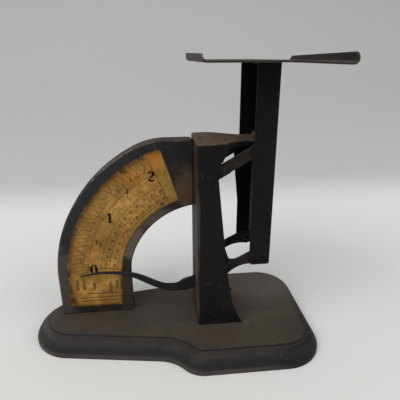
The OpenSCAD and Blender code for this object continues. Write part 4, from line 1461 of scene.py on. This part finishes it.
@dataclass
class Print:
    """What is printed on the paper: rules, graduations, a small table and plain numbers.

    A radius is measured from the dial's centre, and an angle from the left horizontal upwards.
    """

    lay: Layout
    level: float = Dial.front - Dial.paper
    film: float = 0.03
    arc_step: float = 1.5
    unit: float = 30.4
    zero: float = 2.6
    scale_end: float = 66.4
    ticks_per_unit: int = 28
    long_tick: int = 7
    deep_tick: int = 14
    rows: tuple[float, ...] = (92.4, 91.0, 89.6, 88.2, 86.6, 85.2, 83.8, 80.2)
    deep: float = 78.8
    speck_step: float = 1.3
    speck_half: float = 0.38
    table_from: float = 6.2
    cells: tuple[float, ...] = (71.6, 66.2, 60.8)
    cells_per_unit: int = 6
    columns: tuple[Triple, ...] = (
        (-88.6, -0.6, 8.6), (-84.0, 0.5, 10.4), (-77.2, -3.4, 7.2), (-66.2, -3.2, 8.6),
        (-61.6, -2.6, 7.2),
    )
    column_step: float = 0.95
    lines: tuple[Triple, ...] = ((28.5, -82.0, -62.0), (25.2, -88.0, -60.5), (22.8, -87.0, -61.5))
    end_line: Point = (60.6, 91.6)
    red_line: Triple = (6.4, 60.8, 82.7)
    numbers: tuple[tuple[str, float, float, float], ...] = (
        ("0", 76.7, 5.3, 7.4), ("1", 77.1, 35.5, 6.6), ("1", 80.5, 51.3, 3.4),
        ("2", 79.9, 64.3, 7.0),
    )
    halves: tuple[Triple, ...] = ((76.4, 20.7, 4.6), (76.2, 49.6, 3.6))
    shapes: dict[str, Shape] = field(default_factory=lambda: defaultdict(Shape))

    def spot(self, radius: float, angle: float) -> Point:
        """Return a point by its radius and its angle above the left horizontal."""
        turn = math.radians(180 - angle)
        return (self.lay.shift + radius * math.cos(turn), self.lay.dial_z + radius * math.sin(turn))

    def fill(self, ink: str, outline: Outline) -> None:
        """Print an outline's inside."""
        self.shapes[ink].polygon(outline, Sheet.SIDE, self.level - self.film)

    def bar(self, ink: str, start: Point, end: Point, width: float) -> None:
        """Print a straight bar between two points.

        Args:
            ink: The ink's name.
            start: Middle of one end.
            end: Middle of the other end.
            width: Width of the bar.
        """
        run, rise = end[0] - start[0], end[1] - start[1]
        length = math.hypot(run, rise)
        along, up = -rise / length * width / 2, run / length * width / 2
        corners = ((start, 1), (end, 1), (end, -1), (start, -1))
        self.fill(ink, Outline(*((a + side * along, b + side * up) for (a, b), side in corners)))

    def rule(self, ink: str, radius: float, start: float, end: float, width: float) -> None:
        """Print a thin arc.

        Args:
            ink: The ink's name.
            radius: Radius of the arc's middle.
            start: First angle.
            end: Last angle.
            width: Width of the line.
        """
        steps = max(4, round((end - start) / self.arc_step))
        outline = Outline()
        centre = (self.lay.shift, self.lay.dial_z)
        outline.arc(centre, radius + width / 2, 180 - start, 180 - end, steps)
        outline.arc(centre, radius - width / 2, 180 - end, 180 - start, steps)
        self.fill(ink, outline)

    def ray(self, ink: str, angle: float, inner: float, outer: float, width: float) -> None:
        """Print a radial line."""
        self.bar(ink, self.spot(inner, angle), self.spot(outer, angle), width)

    def number(self, ink: str, figure: str, place: Point, height: float) -> None:
        """Print a figure, upright, about its middle.

        Args:
            ink: The ink's name.
            figure: One of 0, 1 and 2.
            place: The figure's middle.
            height: Its height in millimetres.
        """
        for stations in FIGURES[figure]:
            sized = [(a * height, b * height, width * height) for a, b, width in stations]
            self.fill(ink, stroke_outline(sized, 5).moved(*place))

    def half_mark(self, place: Point, height: float) -> None:
        """Print a half: a small one over a small two, with a slanted line between.

        Args:
            place: The mark's middle.
            height: Its height.
        """
        x, z = place
        small = height * 0.52
        self.number("black", "1", (x - 0.28 * height, z + 0.24 * height), small)
        self.number("black", "2", (x + 0.3 * height, z - 0.26 * height), small)
        self.bar("black", (x - 0.3 * height, z - 0.4 * height),
                 (x + 0.3 * height, z + 0.4 * height), 0.05 * height)

    def graduations(self) -> None:
        """Print the rules, the ticks and the rows of fine marks between them."""
        end = self.scale_end
        for radius in self.rows:
            ink = "brown" if radius in (self.rows[0], *self.rows[-2:]) else "faint"
            self.rule(ink, radius, self.zero - 0.4, end, 0.26)
        for radius in self.cells:
            self.rule("brown", radius, self.table_from, end, 0.32)
        middle, near, foot = self.rows[4], self.rows[-2], self.rows[-1]
        step = self.unit / self.ticks_per_unit
        for i in range(int((end - self.zero) / step) + 1):
            outer, width = (near, 0.3) if i % self.long_tick else (middle, 0.42)
            inner = foot if i % self.deep_tick else self.deep
            self.ray("brown", self.zero + i * step, inner, outer, width)
        for row, (high, low) in enumerate(zip(self.rows, self.rows[1:-1])):
            for i in range(int((end - self.zero) / self.speck_step)):
                angle = self.zero + 0.7 + i * self.speck_step + 0.35 * math.sin(2.3 * i + row)
                radius = (high + low) / 2 + 0.1 * math.sin(1.9 * i + row)
                self.ray("brown", angle, radius - self.speck_half, radius + self.speck_half,
                         0.35 + 0.4 * abs(math.sin(1.7 * i + row)))
        self.ray("brown", end, *self.end_line, 0.45)

    def table(self) -> None:
        """Print the two rows of small cells and a mark in each."""
        cell = self.unit / self.cells_per_unit
        for i in range(int((self.scale_end - self.table_from) / cell) + 1):
            angle = self.table_from + i * cell
            self.ray("brown", angle, self.cells[-1], self.cells[0], 0.26)
            middle = angle + cell / 2
            if middle > self.scale_end:
                continue
            for radius, figure in ((68.8, "12"[i % 2]), (63.4, "21"[i % 2])):
                x, z = self.spot(radius, middle)
                self.number("brown", figure, (x, z), 2.5)
                self.bar("brown", (x + 1.0, z - 1.0), (x + 1.4, z + 1.0), 0.5)

    def figures(self) -> None:
        """Print the large numbers."""
        for figure, radius, angle, height in self.numbers:
            self.number("black", figure, self.spot(radius, angle), height)
        for radius, angle, height in self.halves:
            self.half_mark(self.spot(radius, angle), height)

    def foot(self) -> None:
        """Print the block under the zero line: short columns and three lines of fine marks."""
        shift, centre = self.lay.shift, self.lay.dial_z
        self.ray("red", *self.red_line, 0.42)
        for x, top, long in self.columns:
            for i in range(int(long / self.column_step)):
                z = centre + top - self.column_step * i
                width = 1.7 + 0.6 * abs(math.sin(2.9 * i + x))
                self.bar("brown", (shift + x - width / 2, z), (shift + x + width / 2, z), 0.6)
        for z, left, right in self.lines:
            x, count = left, 0
            while x < right:
                long = 1.5 + 1.3 * abs(math.sin(3.1 * count + z))
                self.bar("brown", (shift + x, z), (shift + x + long, z), 0.8)
                x += long + 0.3
                count += 1

    def build(self, looks: Finishes) -> None:
        """Print everything and dress each ink.

        Args:
            looks: The materials.
        """
        for section in (self.graduations, self.table, self.figures, self.foot):
            section()
        for ink, shape in self.shapes.items():
            for face in shape.mesh.faces:
                face.normal_update()
                if face.normal.y > 0:
                    face.normal_flip()
            shape.extrude_faces(shape.mesh.faces, Vector((0, self.film * 0.9, 0)), keep=True)
            bmesh.ops.recalc_face_normals(shape.mesh, faces=shape.mesh.faces)
            shape.hand_over(f"dial_print_{ink}", "base", looks.inks[ink], "printed_paper",
                            weighted=False)


@dataclass
class Pointer:
    """The thin curved blade that sweeps over the dial."""

    lay: Layout
    front: float = -1.8
    thick: float = 1.2
    edge_r: float = 0.22
    stations: tuple[Triple, ...] = (
        (-85.9, 1.2, 0.5), (-75.8, 2.9, 1.3), (-67.2, 3.2, 1.7), (-59.2, 2.3, 2.2),
        (-51.5, 0.6, 3.4), (-46.1, -1.6, 4.2), (-41.2, -4.3, 4.7), (-36.1, -7.2, 4.8),
        (-30.9, -9.6, 4.9), (-25.7, -10.8, 5.6), (-20.5, -11.0, 6.5), (-15.5, -9.9, 8.0),
        (-10.0, -8.1, 8.8), (-4.5, -3.8, 7.6), (0.0, -0.3, 6.8), (8.6, 4.6, 6.8),
    )

    def build(self, looks: Finishes) -> None:
        """Model the blade and dress it.

        Args:
            looks: The materials.
        """
        blade = Shape()
        outline = stroke_outline(self.stations, 6).moved(self.lay.pivot_x, self.lay.pivot_z)
        blade.plate(outline, Sheet.SIDE, self.front, self.thick)
        blade.outwards(0, -1, 0)
        blade.soften(self.edge_r)
        blade.hand_over("pointer_blade", "lower_lever", looks.pointer, "pointer_steel", "pointer")


@dataclass
class Links:
    """The two stirrup links and every pivot they turn on."""

    lay: Layout
    length: float = 33.8
    rest: float = 29.9
    arm_y: float = 16.0
    thick: float = 1.2
    root_r: float = 6.2
    tip_r: float = 5.4
    edge_r: float = 0.25
    arch: Triple = (20.0, -19.9, 19.9)
    arch_join: float = 0.15
    lever_plate: Point = (-2.0, 19.0)
    lever_plate_sunk: float = 0.4
    lever_notch: float = 7.0
    upper_arm_r: float = 3.6
    upper_plate_under: float = -4.0
    upper_plate: Point = (-3.0, 13.0)
    upper_hollow: float = 4.5
    bite: float = 0.1
    pivot_r: float = 1.6
    head_r: float = 2.9
    head_h: float = 0.5
    slide: float = 0.3
    ear_y: float = -0.6
    ear: Point = (-2.0, 11.0)
    ear_under: float = -3.6
    ear_r: float = 1.0
    ear_rivets: Point = (1.5, 8.0)

    def turned_up(self, z: float) -> Matrix:
        """Return the transform from a link's own plane to its place at rest."""
        place = Matrix.Translation(Vector((self.lay.pivot_x, 0, z)))
        return place @ Matrix.Rotation(math.radians(-self.rest), 4, "Y")

    def straight_arm(self, radius: float) -> Outline:
        """Draw an arm with two round ends and straight edges."""
        outline = Outline().arc((0, 0), radius, 90, 270, 24)
        return outline.arc((self.length, 0), radius, -90, 90, 20)

    def arched_arm(self) -> Outline:
        """Draw an arm whose lower edge is hollowed.

        Returns:
            The closed outline.
        """
        lean = math.degrees(math.asin((self.root_r - self.tip_r) / self.length))
        centre, radius = (self.arch[0], self.arch[1]), self.arch[2]
        far = meeting((self.length, 0), self.tip_r, centre, radius)
        edge = self.arch_join - self.root_r
        start = 180 - math.degrees(math.asin((edge - centre[1]) / radius))
        outline = Outline().arc((0, 0), self.root_r, 90 - lean, 270 + lean, 20)
        outline.arc(centre, radius, start, direction(centre, far), 18)
        tip = (self.length, 0)
        return outline.arc(tip, self.tip_r, direction(tip, far), 90 - lean, 16)

    def _arms(self, outline: Outline) -> Shape:
        """Start a link with its two arms.

        Args:
            outline: Outline of an arm.

        Returns:
            The link's mesh.
        """
        shape = Shape()
        for level in (-self.arm_y, self.arm_y - self.thick):
            shape.plate(outline, Sheet.SIDE, level, self.thick)
        return shape

    def _place(self, shape: Shape, z: float) -> None:
        """Round a link's edges and bring it to its place.

        Args:
            shape: The link's mesh.
            z: Height of the pivots it turns on.
        """
        bmesh.ops.recalc_face_normals(shape.mesh, faces=shape.mesh.faces)
        shape.soften(self.edge_r)
        bmesh.ops.transform(shape.mesh, matrix=self.turned_up(z), verts=shape.mesh.verts)

    def lever(self, looks: Finishes) -> None:
        """Model the lower lever: two arched arms, the plate that joins them and the ear.

        Args:
            looks: The materials.
        """
        shape = self._arms(self.arched_arm())
        top = self.root_r - self.lever_plate_sunk
        edge, notch = self.arm_y - self.bite, self.lever_notch
        end = self.lever_plate[1] + notch
        half = Outline((self.lever_plate[0], edge), (end, edge))
        half.arc((end, self.arm_y - self.thick + self.slide - notch), notch, 90, 180, 12)
        shape.plate(half.doubled(), Sheet.PLAN, top - self.thick, self.thick)
        (left, right), low, radius = self.ear, self.ear_under, self.ear_r
        ear = Outline().arc((left + radius, low), radius, 202.5, 270, 3)
        ear.arc((right - radius, low), radius, 270, 360, 4)
        ear.to((right, top - self.bite), (left, top - self.bite))
        shape.plate(ear, Sheet.SIDE, self.ear_y, self.thick)
        self._place(shape, self.lay.pivot_z)
        shape.hand_over("lever_stirrup", "lower_lever", looks.link, "japanned_steel", "lower_lever")

    def upper(self, looks: Finishes) -> None:
        """Model the upper link: two arms and the plate along their lower edges.

        Args:
            looks: The materials.
        """
        shape = self._arms(self.straight_arm(self.upper_arm_r))
        hollow = self.arm_y - self.upper_hollow
        edge, end = self.arm_y - self.bite, self.upper_plate[1]
        turn = math.degrees(math.acos(-self.upper_hollow / hollow))
        half = Outline((self.upper_plate[0], edge), (end, edge))
        half.arc((end + self.upper_hollow, 0), hollow, turn, 180, 14)
        shape.plate(half.doubled(), Sheet.PLAN, self.upper_plate_under, self.thick)
        self._place(shape, self.lay.upper_pivot_z)
        shape.hand_over("upper_stirrup", "upper_link", looks.link, "japanned_steel", "upper_link")

    def pivots(self, looks: Finishes) -> None:
        """Model the four pairs of shouldered rivets that the links turn on.

        Args:
            looks: The materials.
        """
        lay = self.lay
        high = lay.moving_z + lay.upper_pivot_z - lay.pivot_z
        for node, body, x, z in (
            ("lower_fixed_pivots", "base", lay.pivot_x, lay.pivot_z),
            ("upper_fixed_pivots", "base", lay.pivot_x, lay.upper_pivot_z),
            ("lower_moving_pivots", "plunger", lay.moving_x, lay.moving_z),
            ("upper_moving_pivots", "plunger", lay.moving_x, high),
        ):
            fixed = body == "base"
            outer = Column.half if fixed else Plunger.half
            inner, head = self.arm_y - self.thick - self.slide, outer + self.head_h
            profile = [
                (0.0, inner - 0.7), (1.9, inner - 0.6), (2.45, inner - 0.3), (2.5, inner),
                (self.pivot_r, inner), (self.pivot_r, outer), (self.head_r, outer),
                (self.head_r, outer + 0.1), (self.head_r - 0.5, head - 0.2),
                (self.head_r - 1.2, head - 0.05), (0.0, head),
            ]
            shape = Shape()
            shape.turned_pair(profile, x, z)
            shape.hand_over(f"{node}_turned", body, looks.column if fixed else looks.plunger,
                            "pivot_steel", node)

    def bushes(self, looks: Finishes) -> None:
        """Model the spacers between the links and the column's flanges.

        Args:
            looks: The materials.
        """
        inner, outer = self.arm_y + self.slide, Column.half - Column.wall
        ring = [(self.pivot_r, inner), (3.25, inner), (3.4, inner + 0.15), (3.4, outer - 0.15),
                (3.25, outer), (self.pivot_r, outer), (self.pivot_r, inner)]
        shape = Shape()
        for z in (self.lay.pivot_z, self.lay.upper_pivot_z):
            shape.turned_pair(ring, self.lay.pivot_x, z)
        shape.hand_over("pivot_bushes_turned", "base", looks.brass, "brass_bushes", "pivot_bushes")

    def pointer_rivets(self, looks: Finishes) -> None:
        """Model the two domed rivets that fix the pointer to the lever's ear.

        Args:
            looks: The materials.
        """
        front, back = Pointer.front, self.ear_y + self.thick
        dome = [(0.0, front - 0.6), (0.9, front - 0.54), (1.5, front - 0.3), (1.7, front),
                (1.0, front), (1.0, back), (1.7, back), (1.5, back + 0.3), (0.9, back + 0.54),
                (0.0, back + 0.6)]
        shape = Shape()
        for along in self.ear_rivets:
            place = self.turned_up(self.lay.pivot_z) @ Vector((along, 0, 0))
            shape.turned(dome, place, Vector((0, 1, 0)))
        shape.hand_over("pointer_rivets_turned", "lower_lever", looks.steel, "fasteners",
                        "pointer_rivets")

    def build(self, looks: Finishes) -> None:
        """Model the links and all that holds them."""
        for step in (self.lever, self.upper, self.pivots, self.bushes, self.pointer_rivets):
            step(looks)


@dataclass
class Plunger:
    """The channel that carries the platform; the spring's seat inside it keeps its imported shape."""

    lay: Layout
    half: float = 17.7
    reach: float = 10.7
    flange_reach: float = 3.1
    tail: float = 4.2
    wall: float = 1.2
    corner: float = 2.2
    back_extra: float = 2.0
    swelling: float = 3.2
    swell_rise: Point = (44.0, 31.0)
    swell_end: Point = (9.0, 2.5)
    rise: float = 72.3
    nick: float = 1.5
    tab: Point = (11.0, 8.0)
    tab_from: float = 2.0
    edge_r: float = 0.28
    nick_steps: int = 3
    rings: int = 48

    def left_at(self, z: float, back: bool) -> float:
        """Return how far left a flange reaches at a height; the back one reaches further.

        Args:
            z: The height.
            back: Whether it is the back flange.

        Returns:
            The edge's place along X.
        """
        lay = self.lay
        edge = lay.moving_x - self.flange_reach
        low = lay.moving_z - self.tail
        if z < low + self.nick:
            edge += self.nick * (1 - (z - low) / self.nick)
        if not back:
            return edge
        ear = lay.moving_z + self.rise
        below, length = self.swell_rise
        swell = min(max((z - ear + below) / length, 0.0), 1.0)
        swell *= 1 - smoothstep(z, ear - self.swell_end[0], ear - self.swell_end[1])
        return edge - self.back_extra - self.swelling * swell

    def build(self, looks: Finishes) -> None:
        """Model the channel and dress it.

        Args:
            looks: The materials.
        """
        lay = self.lay
        low, high = lay.moving_z - self.tail, lay.platform_under
        web = lay.moving_x + self.reach
        half = Outline((lay.moving_x - self.flange_reach, self.half))
        half.arc((web - self.corner, self.half - self.corner), self.corner, 90, 0, 8)
        shape = Shape()
        edges = shape.path(half.doubled(), Sheet.PLAN, low)
        straight = high - low - self.nick
        stations = [low + self.nick * i / self.nick_steps for i in range(self.nick_steps)]
        stations += [low + self.nick + straight * i / self.rings for i in range(self.rings + 1)]
        for z, after in zip(stations, stations[1:]):
            edges = shape.extrude_edges(edges, Vector((0, 0, after - z)))
        free = lay.moving_x - self.flange_reach
        shape.move(lambda spot: Vector((self.left_at(spot.z, spot.y > 0), spot.y, spot.z))
                   if abs(spot.x - free) < CLOSE else spot)
        shape.outwards(1, 0, 0)
        shape.thicken(self.wall)
        shape.soften(self.edge_r)
        left = free + self.tab_from
        for side in (-1, 1):
            near, far = sorted((side * (self.half - self.tab[1]), side * (self.half - 0.1)))
            shape.plate(rectangle(left, near, left + self.tab[0], far),
                        Sheet.PLAN, high - self.wall, self.wall)
        shape.hand_over("plunger_channel", "plunger", looks.plunger, "japanned_steel", "plunger")


@dataclass
class Platform:
    """The plate that the letter lies on, with its left and right edges turned up."""

    lay: Layout
    length: float = 75.5
    width: float = 101.4
    thick: float = 1.1
    lip_round: Point = (4.2, 4.9)
    lip_slant: Point = (3.0, 3.4)
    bend: float = 1.6
    slant: float = 5.0
    corner: float = 3.4
    rivet_x: float = 4.0
    rivet_y: float = 13.2
    sunk_r: float = 2.4
    sunk_h: float = 0.8
    droop: float = 1.25
    droop_x: Point = (8.0, 38.0)
    edge_r: float = 0.3
    bend_cuts: int = 8
    droop_cuts: int = 10
    rivet_r: float = 1.4

    @property
    def flat(self) -> float:
        """Return how far from the middle the sheet's bends begin."""
        return self.length / 2 - self.bend - self.thick

    @property
    def radius(self) -> float:
        """Return the outer radius of the bends."""
        return self.bend + self.thick

    def bent(self, spot: Vector) -> Vector:
        """Bend the flat sheet up along its two long edges.

        Args:
            spot: A point of the flat sheet.

        Returns:
            Where it goes.
        """
        flat, radius = self.flat, self.radius
        over = abs(spot.x) - flat
        if over <= 0:
            return spot
        angle = min(over / radius, math.pi / 2)
        x = flat + radius * math.sin(angle)
        z = radius * (1 - math.cos(angle)) + max(over - radius * math.pi / 2, 0.0)
        return Vector((math.copysign(x, spot.x), spot.y, spot.z + z))

    def drooped(self, spot: Vector) -> Vector:
        """Let the right side hang a little, as years of use have left it."""
        return spot - Vector((0, 0, self.droop * smoothstep(spot.x, *self.droop_x)))

    def sheet(self) -> Outline:
        """Draw the flat sheet before it is bent.

        Returns:
            The closed outline.
        """
        flat, radius = self.flat, self.radius
        rise = flat + radius * math.pi / 2 - self.bend
        end = self.width / 2
        low_cut = flat + radius * math.acos(1 - (self.thick + 0.3) / radius)
        left, right = self.lip_round
        sheet = Outline((-low_cut, -end))
        sheet.arc((rise + right - self.corner, self.corner - end), self.corner, -90, 0, 8)
        sheet.to((rise + self.lip_slant[1], end - self.slant), (low_cut, end))
        sheet.arc((self.corner - rise - left, end - self.corner), self.corner, 90, 180, 8)
        return sheet.to((-rise - self.lip_slant[0], self.slant - end))

    def build(self, looks: Finishes) -> None:
        """Model the plate and its rivets, and dress them.

        Args:
            looks: The materials.
        """
        lay = self.lay
        turn = self.radius * math.pi / 2
        shape = Shape()
        shape.polygon(self.sheet(), Sheet.PLAN, 0.0)
        for side in (-1, 1):
            for i in range(self.bend_cuts + 1):
                shape.cut(0, side * (self.flat + turn * i / self.bend_cuts))
        for i in range(self.droop_cuts):
            shape.cut(0, self.droop_x[0] + (self.flat - self.droop_x[0]) * i / self.droop_cuts)
        shape.move(self.bent)
        shape.move(self.drooped)
        shape.outwards(0, 0, -1)
        shape.thicken(self.thick)
        shape.soften(self.edge_r)
        shape.shift(lay.moving_x, 0, lay.platform_under)
        shape.hand_over("platform_plate", "plunger", looks.platform, "platform_japan", "platform")
        rivets = Shape()
        under, over = lay.platform_under - Plunger.wall, lay.platform_under + self.thick
        profile = [
            (0.0, under - 0.6), (1.6, under - 0.5), (2.3, under - 0.2), (2.4, under),
            (self.rivet_r, under), (self.rivet_r, over - self.sunk_h), (self.sunk_r, over - 0.02),
            (self.sunk_r - 0.2, over + 0.06), (0.0, over + 0.08),
        ]
        for side in (-1, 1):
            place = Vector((lay.moving_x + self.rivet_x, side * self.rivet_y, 0))
            rivets.turned(profile, place, Vector((0, 0, 1)))
        rivets.hand_over("platform_rivets_turned", "plunger", looks.steel, "fasteners",
                         "platform_rivets")


@dataclass
class Spring:
    """The extension spring inside the plunger, between the horn and the seat."""

    lay: Layout
    wire: float = 0.7
    curl: float = 5.6
    curls: int = 44
    offset: float = 3.2
    steps: int = 20
    sides: int = 8

    def build(self, looks: Finishes) -> None:
        """Model the spring and let it stretch between the base and the spring's foot.

        Args:
            looks: The materials.
        """
        thin = self.wire / 2
        low, high = heights("spring")
        low, high = low + thin, high - thin
        axis_x = self.lay.moving_x + self.offset
        shape = Shape()
        ring = bmesh.ops.create_circle(shape.mesh, cap_ends=False, segments=self.sides,
                                       radius=thin)["verts"]
        stand = Matrix.Translation(Vector((self.curl / 2, 0, low)))
        stand @= Matrix.Rotation(math.pi / 2, 4, "X")
        bmesh.ops.transform(shape.mesh, matrix=stand, verts=ring)
        edges = list({edge for vert in ring for edge in vert.link_edges})
        climb = (high - low) / (self.curls * self.steps)
        bmesh.ops.spin(shape.mesh, geom=ring + edges, cent=(0, 0, 0), axis=(0, 0, 1),
                       dvec=(0, 0, climb), angle=math.tau * self.curls,
                       steps=self.curls * self.steps)
        bmesh.ops.holes_fill(shape.mesh, edges=shape.mesh.edges, sides=self.sides)
        bmesh.ops.recalc_face_normals(shape.mesh, faces=shape.mesh.faces)
        shape.shift(axis_x, 0, 0)
        piece = shape.finished("spring_coil", weighted=False)
        piece.data.materials.append(looks.wire)
        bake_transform(piece, "base", "spring_foot", start=(axis_x * MM, 0, high * MM),
                 end=(axis_x * MM, 0, low * MM))
        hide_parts("spring")
        LOG.info("%s bends between two bodies: %d faces", piece.name, len(piece.data.polygons))


class Fittings:
    """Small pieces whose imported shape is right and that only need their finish."""

    STEEL = ("column_screws", "column_nuts", "dial_screws", "dial_nuts", "dial_rivets",
             "seat_rivets")

    def build(self, looks: Finishes) -> None:
        """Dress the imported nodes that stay.

        Args:
            looks: The materials.
        """
        chosen = {name: looks.steel for name in self.STEEL}
        chosen |= {name: looks.wire for name in ("spring_stem", "stem_washer", "stem_pin")}
        chosen |= {"zero_screw": looks.rusty, "zero_nut": looks.rusty, "spring_seat": looks.plunger}
        for name, finish in chosen.items():
            node = frame["nodes"][name]
            node.data.materials.clear()
            node.data.materials.append(finish)
            LOG.info("%s keeps its packed shape", name)


@dataclass
class Studio:
    """The pale table, its backdrop, the lamps and the camera."""

    eye: Triple = (-5.19, -234.67, 183.08)
    yaw: float = 5.93
    pitch: float = 20.35
    roll: float = -0.24
    lens: float = 34.64
    sensor: float = 36.0
    near: float = 900.0
    far: float = 260.0
    half: float = 2600.0
    sweep: float = 2600.0
    aim_z: float = 80.0
    lamp_size: float = 1400.0
    lamps: tuple[tuple[str, Triple, float], ...] = (
        ("lamp_left", (-900.0, -900.0, 1300.0), 26.0),
        ("lamp_right", (1100.0, -700.0, 1100.0), 11.0),
    )
    sky: Colour = (0.98, 0.99, 1.0)
    sky_strength: float = 0.55

    def camera(self) -> None:
        """Set the camera where the photograph was taken from."""
        yaw, pitch, roll = map(math.radians, (self.yaw, self.pitch, self.roll))
        ahead = Vector((math.sin(yaw) * math.cos(pitch), math.cos(yaw) * math.cos(pitch),
                        -math.sin(pitch)))
        right = Vector((math.cos(yaw), -math.sin(yaw), 0.0))
        above = right.cross(ahead)
        tilted_right = right * math.cos(roll) + above * math.sin(roll)
        tilted_above = above * math.cos(roll) - right * math.sin(roll)
        turn = Matrix((tilted_right, tilted_above, -ahead)).transposed().to_4x4()
        data = bpy.data.cameras.new("camera")
        data.lens = self.lens
        data.sensor_width = self.sensor
        data.sensor_fit = "HORIZONTAL"
        data.clip_start = 0.01
        eye = bpy.data.objects.new("camera", data)
        eye.matrix_world = Matrix.Translation(Vector(self.eye) * MM) @ turn
        bpy.context.scene.collection.objects.link(eye)
        bpy.context.scene.camera = eye

    def table(self) -> None:
        """Model the table and backdrop as one sheet with a wide sweep."""
        shape = Shape()
        profile = Outline((-self.near, 0.0)).arc((self.far, self.sweep), self.sweep, -90, -20, 48)
        strip = shape.path(profile, Sheet.CROSS, -self.half)
        shape.extrude_edges(strip, Vector((2 * self.half, 0, 0)))
        bmesh.ops.recalc_face_normals(shape.mesh, faces=shape.mesh.faces)
        if min(shape.mesh.faces, key=lambda face: face.calc_center_median().y).normal.z < 0:
            bmesh.ops.reverse_faces(shape.mesh, faces=shape.mesh.faces)
        table = shape.finished("table_and_backdrop", 80.0, weighted=False)
        recipe = Recipe("pale_table")
        _, y, _ = recipe.axes(recipe.place())
        # Painted light: these colour ramps stand in for how the light falls, lighter going back over the
        # table, darker where the sweep begins and lighter again higher up.
        table_top = recipe.blend(y.rise(-40.0, 230.0), paint(199, 199, 196), paint(211, 211, 209))
        wall = recipe.blend(y.rise(700.0, 1700.0), paint(180, 180, 178), paint(191, 191, 189))
        colour = recipe.blend(y.rise(215.0, 370.0), table_top, wall)
        table.data.materials.append(recipe.surface(colour, 0.9))

    def light(self) -> None:
        """Hang two large soft lamps and light the world evenly."""
        for name, place, power in self.lamps:
            data = bpy.data.lights.new(name, "AREA")
            data.size = self.lamp_size * MM
            data.energy = power
            lamp = bpy.data.objects.new(name, data)
            lamp.location = Vector(place) * MM
            aim = Vector((0, 0, self.aim_z)) - Vector(place)
            lamp.rotation_euler = aim.to_track_quat("-Z", "Y").to_euler()
            bpy.context.scene.collection.objects.link(lamp)
        world = bpy.data.worlds.new("room")
        world.use_nodes = True
        sky = world.node_tree.nodes["Background"]
        sky.inputs["Color"].default_value = (*self.sky, 1.0)
        sky.inputs["Strength"].default_value = self.sky_strength
        bpy.context.scene.world = world

    def build(self) -> None:
        """Set up everything around the scale."""
        self.camera()
        self.table()
        self.light()
        bpy.context.scene.view_settings.view_transform = "Standard"


def main() -> None:
    """Build the studio and every sub-assembly."""
    logging.basicConfig(level=logging.INFO, format="%(message)s")
    lay = Layout.from_frame()
    Studio().build()
    looks = Finishes(lay)
    assemblies = (BaseShell(lay), Column(lay), Dial(lay), Print(lay), Pointer(lay), Links(lay),
                  Plunger(lay), Platform(lay), Spring(lay), Fittings())
    for assembly in assemblies:
        LOG.info("building %s", type(assembly).__name__)
        assembly.build(looks)


if __name__ == "__main__":
    main()
